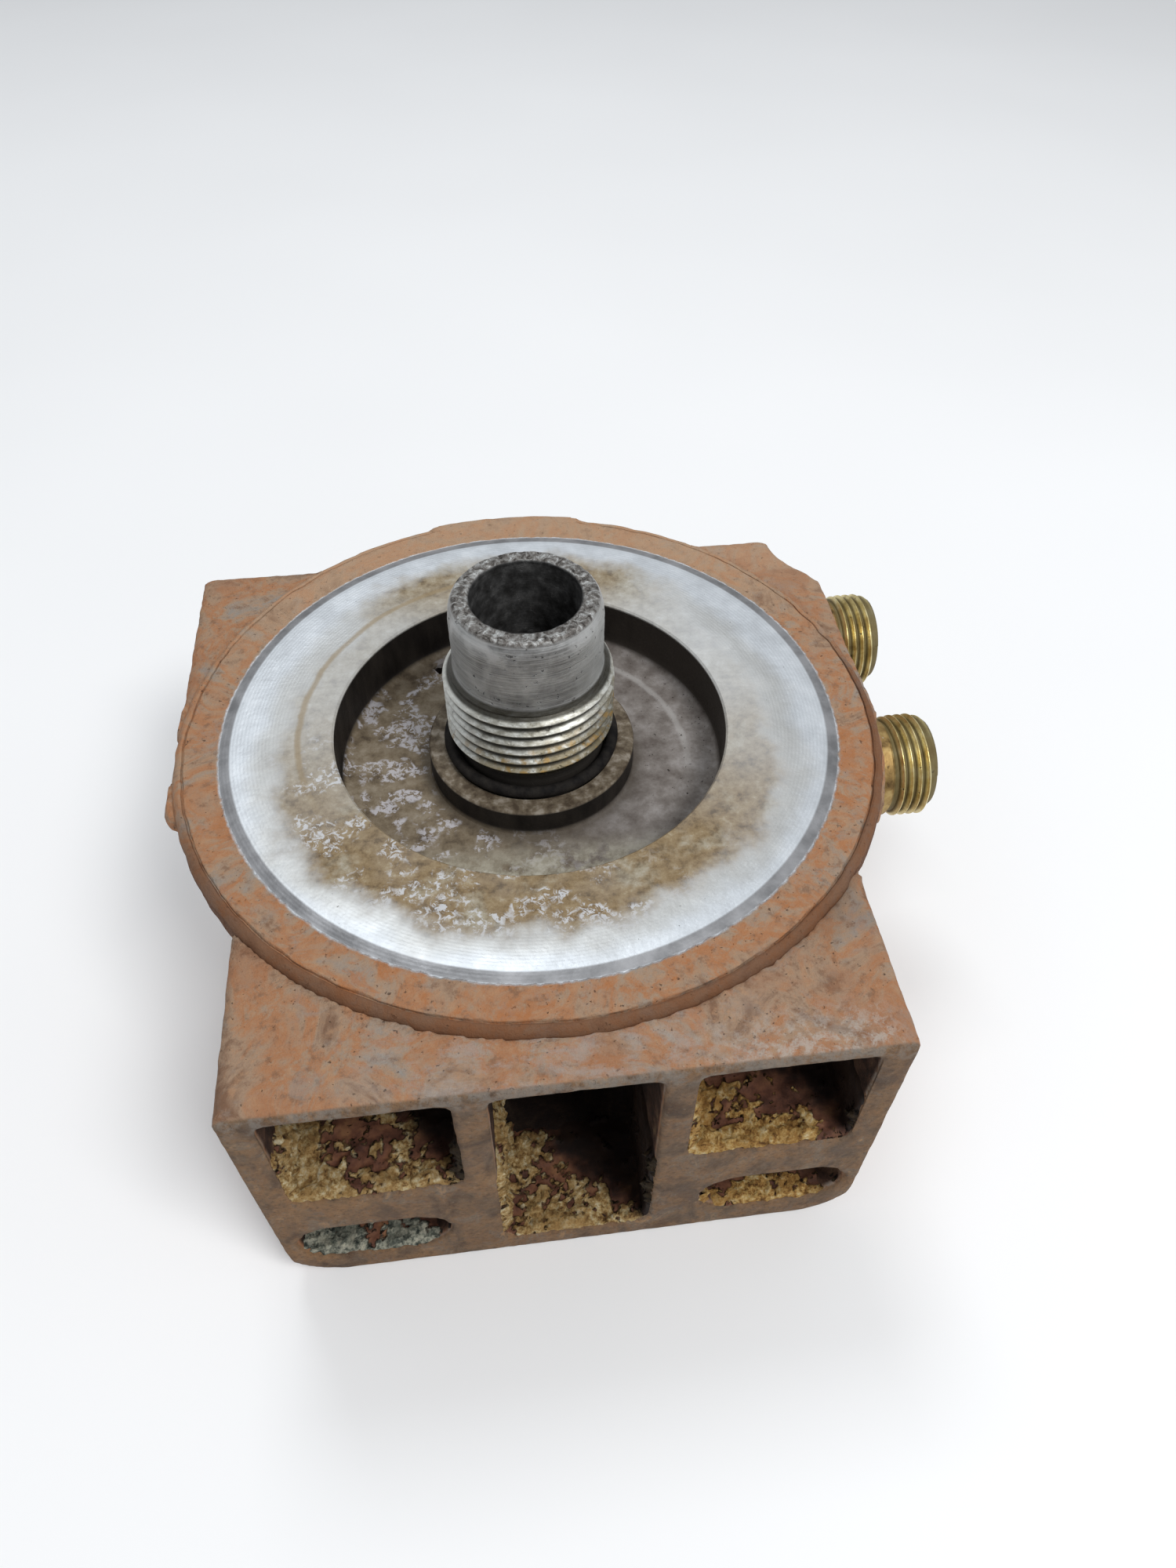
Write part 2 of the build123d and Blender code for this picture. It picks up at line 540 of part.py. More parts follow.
def relief_cap():
    """Hollow hexagon cap: thread inside the boss, spring pocket and vent hole."""
    thread = thread_points(CAP_THREAD_R, CAP_PITCH, CAP_SPIGOT_Y, CAP_HEAD_Y)
    spigot = turned([(0, CAP_SPIGOT_Y), *thread, (0, CAP_HEAD_Y)])
    cap = spigot + hexagon(CAP_HEX_AF, CAP_HEAD_Y, CAP_END_Y)
    cap -= rod(CAP_POCKET_R, CAP_SPIGOT_Y - CUT, CAP_POCKET_Y)
    cap -= rod(CAP_VENT_R, CAP_POCKET_Y - CUT, CAP_END_Y + CUT)
    return along_y(cap, 0, RELIEF_Z)


# ---------------------------------------------------------------- test unions
def test_union(y):
    """Male union: spigot thread, plain shank, outer thread, tube socket and ball seat."""
    washer_x = UNION_FACE_X
    shank_x = UNION_TIP_X - UNION_THREAD_L
    inner = thread_points(UNION_SPIGOT_R, UNION_PITCH, UNION_INNER_X, washer_x - UNION_WASHER_T)
    outer = thread_points(UNION_THREAD_R, UNION_PITCH, shank_x, UNION_TIP_X)
    neck_r = UNION_SPIGOT_R - 0.92
    body = turned([(UNION_CHAMBER_R, UNION_INNER_X), *inner, (neck_r, washer_x),
                   (UNION_SHANK_R, washer_x), (UNION_SHANK_R, shank_x), *outer,
                   (UNION_MOUTH_R, UNION_TIP_X), (UNION_SOCKET_R, UNION_TIP_X - UNION_MOUTH_L),
                   (UNION_SOCKET_R, UNION_SOCKET_X), (UNION_THROAT_R, UNION_SOCKET_X),
                   (UNION_THROAT_R, CONE_X), (UNION_CHAMBER_R, CONE_X - UNION_CONE_L)])
    return along_x(body, y, UNION_Z)


def union_washer(y):
    ring = tube(UNION_WASHER_R, UNION_SPIGOT_R + LOOSE_GAP, UNION_FACE_X - UNION_WASHER_T, UNION_FACE_X)
    return along_x(ring, y, UNION_Z)


def test_ball(y):
    return Pos(BALL_X, y, UNION_Z) * Sphere(TEST_BALL_R)


def ball_spring(y):
    touch_x = BALL_X - (TEST_BALL_R ** 2 - BALL_SPRING_R ** 2) ** 0.5
    spring = coil(BALL_SPRING_R, BALL_SPRING_WIRE_R, BALL_SPRING_TURNS, SLEEVE_X, touch_x - SEAT_GAP)
    return along_x(spring, y, UNION_Z)


def spring_sleeve(y):
    return along_x(tube(UNION_CHAMBER_R, SLEEVE_BORE_R, UNION_INNER_X, SLEEVE_X), y, UNION_Z)


def core_plug():
    """Pressed cup, open on the outside."""
    cup = rod(CORE_PLUG_R, 0, CORE_PLUG_L)
    return cup - rod(CORE_PLUG_R - CORE_PLUG_WALL, CORE_PLUG_WALL, CORE_PLUG_L + CUT)


# ---------------------------------------------------------------- assembly
nodes = {
    "head_casting": head_casting(),
    "centre_nipple": centre_nipple(),
    "nipple_o_ring": nipple_o_ring(),
    "stem_guide": stem_guide(),
    "check_seat_ring": check_seat_ring(),
    "check_poppet": check_poppet(),
    "check_seal_disc": tube(CHECK_DISC_R - 0.4, CHECK_SPIGOT_R, CHECK_LIP_Z, CHECK_SEAL_TOP_Z),
    "check_seal_washer": tube(CHECK_WASHER_R, CHECK_SPIGOT_R, CHECK_WASHER_Z, CHECK_LIP_Z),
    "check_seal_nut": hexagon(CHECK_NUT_AF, CHECK_NUT_Z, CHECK_WASHER_Z)
    - rod(CHECK_SPIGOT_R, CHECK_NUT_Z - CUT, CHECK_WASHER_Z + CUT),
    "check_spring": coil(CHECK_SPRING_R, CHECK_SPRING_WIRE_R, CHECK_SPRING_TURNS,
                         CHECK_DISC_TOP_Z, GUIDE_Z),
    "relief_seat_ring": relief_seat_ring(),
    "relief_poppet": relief_poppet(),
    "relief_seal_disc": along_y(rod(RELIEF_DISC_R - 0.3, RELIEF_LIP_Y, RELIEF_DISC_Y), 0, RELIEF_Z),
    "relief_spring": along_y(coil(RELIEF_SPRING_R, RELIEF_SPRING_WIRE_R, RELIEF_SPRING_TURNS,
                                  RELIEF_DISC_END_Y, CAP_POCKET_Y), 0, RELIEF_Z),
    "relief_cap": relief_cap(),
    "relief_cap_washer": along_y(tube(CAP_WASHER_R, CAP_THREAD_R + LOOSE_GAP,
                                      REAR_BOSS_Y, CAP_HEAD_Y), 0, RELIEF_Z),
    "core_plugs": Compound(children=[place * core_plug() for place in core_plug_places()]),
}
for name, union_y in (("front", UNION_FRONT_Y), ("rear", UNION_REAR_Y)):
    nodes[name + "_union"] = test_union(union_y)
    nodes[name + "_union_washer"] = union_washer(union_y)
    nodes[name + "_test_ball"] = test_ball(union_y)
    nodes[name + "_ball_spring"] = ball_spring(union_y)
    nodes[name + "_spring_sleeve"] = spring_sleeve(union_y)

for name, shape in nodes.items():
    export_step(shape, f"parts/{name}.step")
    print(f"{name}: {shape.volume:.1f} mm3")
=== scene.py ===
"""Looks of the cast-iron head of a backflow preventer.

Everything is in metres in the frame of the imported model: +Z up, the origin on the axis of the
round seat in its machined face, -Y out of the ported front, +X out of the two brass unions.
Sizes in the tables below are in millimetres and are scaled by MM where a mesh is made.
"""
import json
from math import atan2, cos, hypot, pi, radians, sin

import bpy
from mathutils import Matrix, Vector, noise


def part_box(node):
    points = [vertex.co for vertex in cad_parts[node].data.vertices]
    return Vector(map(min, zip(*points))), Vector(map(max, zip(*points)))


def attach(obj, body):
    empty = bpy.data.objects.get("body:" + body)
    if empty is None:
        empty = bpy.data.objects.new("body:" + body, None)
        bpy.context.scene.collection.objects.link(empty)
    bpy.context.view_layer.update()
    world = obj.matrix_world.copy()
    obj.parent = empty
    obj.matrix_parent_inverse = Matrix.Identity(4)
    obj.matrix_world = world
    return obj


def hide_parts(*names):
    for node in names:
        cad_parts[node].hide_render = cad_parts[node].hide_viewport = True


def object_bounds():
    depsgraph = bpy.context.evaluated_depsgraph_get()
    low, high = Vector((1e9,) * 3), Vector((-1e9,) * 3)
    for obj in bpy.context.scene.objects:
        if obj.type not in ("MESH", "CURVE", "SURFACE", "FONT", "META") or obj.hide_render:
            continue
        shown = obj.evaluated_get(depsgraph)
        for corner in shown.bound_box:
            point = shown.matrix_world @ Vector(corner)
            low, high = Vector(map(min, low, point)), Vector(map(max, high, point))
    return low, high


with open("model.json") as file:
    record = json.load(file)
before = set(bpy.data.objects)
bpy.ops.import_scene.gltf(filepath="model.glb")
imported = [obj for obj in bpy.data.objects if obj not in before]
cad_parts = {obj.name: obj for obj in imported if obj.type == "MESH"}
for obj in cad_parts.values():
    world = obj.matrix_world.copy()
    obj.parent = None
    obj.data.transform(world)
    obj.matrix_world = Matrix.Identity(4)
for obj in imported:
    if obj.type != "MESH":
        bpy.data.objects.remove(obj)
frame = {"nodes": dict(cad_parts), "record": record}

MM = 0.001
cad_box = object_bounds()
mounts = {m["name"]: m for m in frame["record"]["mounts"]}
openings = {o["name"]: o["box_m"] for o in frame["record"]["physics"]["openings"]}

# ---------------------------------------------------------------- sizes, in millimetres
NIPPLE_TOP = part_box("centre_nipple")[1][2] / MM
NIPPLE_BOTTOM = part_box("centre_nipple")[0][2] / MM
NIPPLE_THREAD_R = mounts["cartridge_thread"]["dims"]["r_mm"]
NIPPLE_PITCH = 2.0
PILOT_R = mounts["cartridge_pilot"]["dims"]["r_mm"]
PILOT_BASE = 13.2
NECK_TOP = -0.8
NECK_R = 12.4
NIPPLE_BORE_R = 8.3
BOSS_TOP = -4.3
BOSS_R = 17.1
BOSS_HOLE_R = 13.55
RECESS_R = 32.05
RECESS_FLOOR = -9.35
SEAT_R = 48.5
LAND_R = 55.7
RIM_R = 57.6
DECK = -2.05
RIM_UNDER = -4.65
CONE_FOOT = -9.25
RIM_PIECE_BOTTOM = -10.2
REAR_BOSS_HALF_W = 14.25
REAR_BOSS_TOP = -0.34
HALF_W = 45.9
FRONT = mounts["port_face"]["pos_m"][1] / MM
FOOT = mounts["foot_face"]["pos_m"][2] / MM
UNION_TIP = mounts["front_union_thread"]["pos_m"][0] / MM
UNION_THREAD_R = mounts["front_union_thread"]["dims"]["r_mm"]
UNION_THREAD_L = mounts["front_union_thread"]["dims"]["length_mm"]
UNION_SOCKET_R = mounts["front_union_socket"]["dims"]["r_mm"]
UNION_PITCH = 1.5
UNION_FACE = 59.0
UNION_SPIGOT_R = 8.0
THREAD_DEPTH = 0.613  # of the pitch
SLOT_HALF_ANGLE = radians(33)  # the slot through the recess floor, behind the boss
SLOT_INNER_R = 21.0
SLOT_OUTER_R = 29.0
SCALE_LIP = 0.3  # how far the scale starts inside a port
SCALE_CELL = 0.45
SCALE_SUNK = 0.75

# ---------------------------------------------------------------- camera and lights
EYE = (-7.65, -125.8, 125.35)
LOOK_DOWN, LOOK_TURN, LOOK_TILT = radians(48.41), radians(7.83), radians(0.75)
SENSOR_HEIGHT = 36.0
LENS = 24.74
WORLD_COLOUR = (0.93, 0.96, 1.0)
WORLD_STRENGTH = 0.46


# ---------------------------------------------------------------- modelling by hand
def deselect():
    bpy.ops.object.select_all(action="DESELECT")


def pick(piece):
    """Make one object the only selected and active one."""
    deselect()
    piece.select_set(True)
    bpy.context.view_layer.objects.active = piece


def trace(name, points):
    """Start a piece from one vertex and extrude it from point to point, (x, y, z) in mm."""
    deselect()
    bpy.ops.mesh.primitive_plane_add(size=MM, location=Vector(points[0]) * MM)
    piece = bpy.context.object
    bpy.ops.object.transform_apply(location=True)
    piece.name = piece.data.name = name
    bpy.ops.object.mode_set(mode="EDIT")
    bpy.ops.mesh.select_mode(type="VERT")
    bpy.ops.mesh.select_all(action="SELECT")
    bpy.ops.mesh.merge(type="CENTER")
    for here, there in zip(points, points[1:]):
        step = (Vector(there) - Vector(here)) * MM
        bpy.ops.mesh.extrude_vertices_move(TRANSFORM_OT_translate={"value": step})
    bpy.ops.mesh.select_all(action="SELECT")
    return piece


def divided(points, longest):
    """The same closed outline with no run longer than that."""
    result = []
    for (r0, z0), (r1, z1) in zip(points, points[1:] + points[:1]):
        parts = max(1, round(hypot(r1 - r0, z1 - z0) / longest))
        result += [(r0 + (r1 - r0) * i / parts, z0 + (z1 - z0) * i / parts) for i in range(parts)]
    return result


def lathe(name, outline, steps=192):
    """Turn a closed (radius, height) outline about Z into a solid."""
    ring = [(r, 0, z) for r, z in outline]
    piece = trace(name, ring + ring[:1])
    bpy.ops.mesh.remove_doubles(threshold=1e-7)
    bpy.ops.mesh.select_all(action="SELECT")
    bpy.ops.mesh.spin(steps=steps, angle=2 * pi, center=(0, 0, 0), axis=(0, 0, 1))
    bpy.ops.mesh.select_all(action="SELECT")
    bpy.ops.mesh.remove_doubles(threshold=2e-6)
    bpy.ops.mesh.normals_make_consistent(inside=False)
    bpy.ops.object.mode_set(mode="OBJECT")
    return piece


def modify(piece, kind, **settings):
    """Add a modifier and apply it at once."""
    pick(piece)
    bpy.ops.object.modifier_add(type=kind)
    modifier = piece.modifiers[-1]
    for key, value in settings.items():
        setattr(modifier, key, value)
    bpy.ops.object.modifier_apply(modifier=modifier.name)


def helix(name, crest_r, pitch, low, high, steps=72):
    """Right-hand V thread whose two ends run out into its root cylinder."""
    depth = THREAD_DEPTH * pitch
    root = crest_r - depth
    half = pitch * 0.44
    flat = pitch * 0.07
    sunk = root - 0.25
    start = low + half
    profile = [(sunk, start - half), (root, start - half), (crest_r - 0.06, start - flat),
               (crest_r, start - flat * 0.4), (crest_r, start + flat * 0.4),
               (crest_r - 0.06, start + flat), (root, start + half), (sunk, start + half)]
    ring = [(r, 0, z) for r, z in profile]
    piece = trace(name, ring + ring[:1])
    bpy.ops.mesh.remove_doubles(threshold=1e-7)
    bpy.ops.object.mode_set(mode="OBJECT")
    turns = (high - low) / pitch - 0.9
    modify(piece, "SCREW", angle=2 * pi * turns, screw_offset=pitch * turns * MM, iterations=1,
           steps=round(steps * turns), render_steps=round(steps * turns), axis="Z",
           use_merge_vertices=False, use_smooth_shade=False)
    runout = 0.45
    per_ring = len(profile)
    rings = len(piece.data.vertices) // per_ring
    for index, vertex in enumerate(piece.data.vertices):
        turn = (index // per_ring) / (rings - 1) * turns
        keep = min(1.0, turn / runout, (turns - turn) / runout)
        r = hypot(vertex.co.x, vertex.co.y) / MM
        if r > root:
            new_r = root - 0.1 + (r - root + 0.1) * keep
            vertex.co.x *= new_r / r
            vertex.co.y *= new_r / r
    pick(piece)
    bpy.ops.object.mode_set(mode="EDIT")
    bpy.ops.mesh.select_all(action="DESELECT")
    bpy.ops.mesh.select_mode(type="EDGE")
    bpy.ops.mesh.select_non_manifold()
    bpy.ops.mesh.fill_holes(sides=0)
    bpy.ops.mesh.select_mode(type="VERT")
    bpy.ops.mesh.select_all(action="SELECT")
    bpy.ops.mesh.normals_make_consistent(inside=False)
    bpy.ops.object.mode_set(mode="OBJECT")
    return piece


def join(name, *pieces):
    """Join pieces into the first one."""
    deselect()
    for piece in pieces:
        piece.select_set(True)
    bpy.context.view_layer.objects.active = pieces[0]
    bpy.ops.object.join()
    pieces[0].name = pieces[0].data.name = name
    return pieces[0]


def smooth(piece, angle=32):
    pick(piece)
    bpy.ops.object.shade_smooth_by_angle(angle=radians(angle))


def place(piece, matrix):
    """Put a piece where the matrix says, with its object left at the origin."""
    piece.matrix_world = matrix
    pick(piece)
    bpy.ops.object.transform_apply(location=True, rotation=True, scale=True)


def twin(piece, name):
    """Copy of a piece with its own mesh."""
    pick(piece)
    bpy.ops.object.duplicate()
    copy = bpy.context.object
    copy.name = copy.data.name = name
    return copy


def roughness_at(point, size, octaves=3):
    """Signed value noise at a point in mm, with features of that size."""
    return noise.fractal(point / size, 0.6, 2.0, octaves)


# ---------------------------------------------------------------- shader sums
class Wire:
    """A shader output that takes part in Python sums."""

    def __init__(self, finish, socket):
        self.finish = finish
        self.socket = socket

    def sum(self, operation, *terms):
        return self.finish.node("Math", {"operation": operation}, enumerate(terms))

    def __add__(self, other):
        return self.sum("ADD", self, other)

    __radd__ = __add__

    def __sub__(self, other):
        return self.sum("SUBTRACT", self, other)

    def __rsub__(self, other):
        return self.sum("SUBTRACT", other, self)

    def __mul__(self, other):
        return self.sum("MULTIPLY", self, other)

    __rmul__ = __mul__

    def __truediv__(self, other):
        return self.sum("DIVIDE", self, other)

    def __rtruediv__(self, other):
        return self.sum("DIVIDE", other, self)

    def __pow__(self, other):
        return self.sum("POWER", self, other)

    def __abs__(self):
        return self.sum("ABSOLUTE", self)

    def most(self, other):
        return self.sum("MAXIMUM", self, other)

    def least(self, other):
        return self.sum("MINIMUM", self, other)

    def step(self, low, high):
        """0 below low, 1 above high, smooth between. low may be the larger."""
        return self.finish.node("MapRange", {"interpolation_type": "SMOOTHSTEP", "clamp": True},
                                {"Value": self, "From Min": low, "From Max": high})


class Finish:
    """A procedural material on object coordinates, in millimetres."""

    def __init__(self, name):
        self.material = bpy.data.materials.new(name)
        self.material.use_nodes = True
        self.tree = self.material.node_tree
        self.shader = self.tree.nodes["Principled BSDF"]
        raw = self.node("TexCoord", out="Object")
        self.at = self.node("VectorMath", {"operation": "SCALE"}, {0: raw, "Scale": 1 / MM})
        self.x, self.y, self.z = (self.node("SeparateXYZ", {}, {0: self.at}, out=i) for i in "XYZ")

    def node(self, kind, settings=(), inputs=(), out=0):
        """Any other node: its type, its settings, then the values or links of its sockets."""
        made = self.tree.nodes.new("ShaderNode" + kind)
        for key, value in dict(settings).items():
            if key == "stops":
                self.set_stops(made.color_ramp, value)
            else:
                setattr(made, key, value)
        for key, value in dict(inputs).items():
            if isinstance(value, Wire):
                self.tree.links.new(value.socket, made.inputs[key])
            else:
                made.inputs[key].default_value = value
        return Wire(self, made.outputs[out])

    @staticmethod
    def set_stops(ramp, stops):
        while len(ramp.elements) < len(stops):
            ramp.elements.new(1.0)
        for element, (position, colour) in zip(ramp.elements, stops):
            element.position = position
            element.color = (*colour, 1.0)

    def stretched(self, sx, sy, sz, offset=0.0):
        """Coordinates stretched along each axis, for brushed and turned marks."""
        moved = self.node("VectorMath", {"operation": "MULTIPLY"}, {0: self.at, 1: (sx, sy, sz)})
        return self.node("VectorMath", {"operation": "ADD"}, {0: moved, 1: (offset,) * 3})

    def grain(self, size, detail=4.0, rough=0.55, twist=0.0, at=None):
        """Noise from 0 to 1 with features about that many millimetres wide."""
        return self.node("TexNoise", {}, {"Vector": at or self.at, "Scale": 1.0 / size,
                                          "Detail": detail, "Roughness": rough, "Distortion": twist})

    def cells(self, size, feature="F1", at=None):
        """Distance in a cell pattern of that size."""
        return self.node("TexVoronoi", {"feature": feature}, {"Vector": at or self.at, "Scale": 1.0 / size})

    def ramp(self, value, *stops):
        return self.node("ValToRGB", {"stops": stops}, {0: value})

    def blend(self, factor, below, above, way="MIX"):
        """Colour mix: below where factor is 0, above where it is 1."""
        below, above = ((*c, 1.0) if isinstance(c, tuple) else c for c in (below, above))
        return self.node("Mix", {"data_type": "RGBA", "blend_type": way},
                         {0: factor, 6: below, 7: above}, out=2)

    def radius(self, a, b):
        """Distance from an axis, of two coordinates."""
        return (a * a + b * b) ** 0.5

    def bumps(self, *layers):
        """Chain of bumps, each (height, distance in mm, strength)."""
        normal = None
        for height, distance, strength in layers:
            inputs = {"Height": height, "Distance": distance * MM, "Strength": strength}
            if normal:
                inputs["Normal"] = normal
            normal = self.node("Bump", {}, inputs)
        return normal

    def output(self, **sockets):
        """Link or set the shader's sockets: spaces in their names are written as _."""
        for key, value in sockets.items():
            socket = self.shader.inputs[key.replace("_", " ")]
            if isinstance(value, Wire):
                self.tree.links.new(value.socket, socket)
            else:
                socket.default_value = (*value, 1.0) if isinstance(value, tuple) else value
        return self.material


# ---------------------------------------------------------------- finishes
RUST_ORANGE = (0.39, 0.180, 0.085)
RUST_TAN = (0.36, 0.242, 0.160)
RUST_BROWN = (0.20, 0.112, 0.068)
RUST_GREY = (0.29, 0.255, 0.22)
RUST_DARK = (0.055, 0.030, 0.019)


def rust(finish):
    """Colour, roughness and height of rusted as-cast iron."""
    patches = finish.grain(11.0, 6.0, 0.65, 0.8)
    mottle = finish.grain(1.9, 7.0, 0.72)
    fine = finish.grain(0.45, 5.0, 0.75)
    colour = finish.ramp(patches, (0.33, RUST_BROWN), (0.43, RUST_TAN), (0.52, RUST_ORANGE),
                         (0.58, RUST_TAN), (0.68, RUST_GREY))
    colour = finish.blend(mottle.step(0.50, 0.66) * 0.6, colour, (0.43, 0.25, 0.14))
    colour = finish.blend(mottle.step(0.48, 0.34) * 0.7, colour, RUST_BROWN)
    worn = finish.grain(4.5, 7.0, 0.72, 0.5, finish.stretched(1, 1, 1, 31.0)).step(0.52, 0.68)
    colour = finish.blend(worn * 0.5, colour, RUST_GREY)
    pits = finish.grain(0.8, 3.0, 0.6, 0.0, finish.stretched(1, 1, 1, 7.0)).step(0.66, 0.72)
    colour = finish.blend(pits * 0.75, colour, RUST_DARK)
    flecks = fine.step(0.62, 0.74) * mottle.step(0.40, 0.60)
    colour = finish.blend(flecks * 0.55, colour, (0.56, 0.42, 0.30))
    height = mottle * 0.6 + fine * 0.35 - pits * 0.6
    rough = 0.72 + fine * 0.22
    return colour, rough, height


def casting_finish():
    """Rusted casting, with painted shade on its front face and inside its ports."""
    finish = Finish("rusted_iron")
    colour, rough, height = rust(finish)
    ahead = finish.y.step(-20.0, -45.0)
    smear = finish.radius((finish.x - 34.0) * 0.8, finish.y + 36.0) + finish.grain(5.0, 5.0) * 12.0 - 6.0
    colour = finish.blend(smear.step(15.0, 4.0) * 0.6 * ahead, colour, (0.13, 0.085, 0.060))
    sunlit = finish.y.step(20.0, 42.0) * finish.x.step(25.0, 42.0) * finish.z.step(DECK - 1.0, DECK - 0.6)
    colour = finish.blend(sunlit * 0.45, colour, (0.50, 0.33, 0.215))
    burnt = finish.grain(16.0, 5.0, 0.6, 0.4, finish.stretched(1, 1, 1, 55.0)).step(0.50, 0.62)
    colour = finish.blend(burnt * 0.45, colour, (0.33, 0.15, 0.075))
    salt = (finish.y.step(-54.0, -62.0) * finish.x.step(6.0, 30.0) * finish.x.step(46.0, 40.0)
            * finish.grain(1.8, 7.0, 0.76, 0.2).step(0.44, 0.60))
    colour = finish.blend(salt * 0.7, colour, (0.47, 0.42, 0.37))
    ashen = (finish.y.step(-49.0, -57.0) * abs(finish.x + 2.0).step(32.0, 14.0)
             * finish.grain(3.4, 7.0, 0.74, 0.2, finish.stretched(0.6, 1, 1, 8.0)).step(0.44, 0.62))
    colour = finish.blend(ashen * 0.5, colour, (0.37, 0.345, 0.32))

    # Front face: streaked rust, kept darker than the deck partly as painted shade.
    face = finish.y.step(FRONT + 0.9, FRONT + 0.5)
    streaks = finish.grain(5.0, 6.0, 0.65, 0.6, finish.stretched(1.0, 1.0, 0.6))
    face_colour = finish.ramp(streaks, (0.32, (0.055, 0.036, 0.024)), (0.44, (0.145, 0.095, 0.058)),
                              (0.53, (0.205, 0.118, 0.060)), (0.59, (0.165, 0.125, 0.090)),
                              (0.68, (0.36, 0.21, 0.10)))
    speck = finish.grain(0.7, 5.0, 0.75)
    blotch = finish.grain(7.0, 6.0, 0.7, 0.3, finish.stretched(1, 1, 1, 19.0))
    face_colour = finish.blend(blotch.step(0.52, 0.64) * 0.6, face_colour, (0.26, 0.145, 0.065))
    face_colour = finish.blend(blotch.step(0.46, 0.36) * 0.6, face_colour, (0.085, 0.060, 0.045))
    face_colour = finish.blend(speck.step(0.50, 0.36) * 0.6, face_colour, (0.055, 0.036, 0.026))
    face_colour = finish.blend(speck.step(0.58, 0.72) * 0.5, face_colour, (0.34, 0.27, 0.19))
    colour = finish.blend(face * 0.9, colour, face_colour)
    bare = face * finish.z.step(-7.5, -3.5) * finish.grain(2.5, 5.0, 0.7).step(0.42, 0.60)
    colour = finish.blend(bare * 0.6, colour, (0.25, 0.225, 0.195))

    # Inside the ports: a dark rust, partly the iron's own colour and partly painted shade, going to near
    # black with depth as painted shade.
    within = (finish.y.step(FRONT + 0.6, FRONT + 1.6) * finish.y.step(40.0, 38.0)
              * abs(finish.x).step(43.6, 42.8) * finish.z.step(-55.2, -54.2) * finish.z.step(-3.2, -4.0))
    port_shade_mottle = finish.grain(4.0, 6.0, 0.68, 0.5)
    inside = finish.ramp(port_shade_mottle, (0.34, (0.010, 0.006, 0.005)), (0.50, (0.050, 0.024, 0.015)),
                         (0.60, (0.105, 0.055, 0.033)), (0.72, (0.22, 0.15, 0.080)))
    depth = finish.y.step(FRONT + 3.0, FRONT + 15.0)
    inside = finish.blend(depth * 0.85, inside, (0.009, 0.006, 0.005))
    colour = finish.blend(within, colour, inside)
    normal = finish.bumps((finish.grain(9.0, 3.0), 1.0, 0.30), (height, 0.7, 0.65),
                          (finish.grain(0.28, 3.0, 0.7), 0.25, 0.6))
    return finish.output(Base_Color=colour, Roughness=rough, Normal=normal, Metallic=0.0,
                         Specular_IOR_Level=0.22)


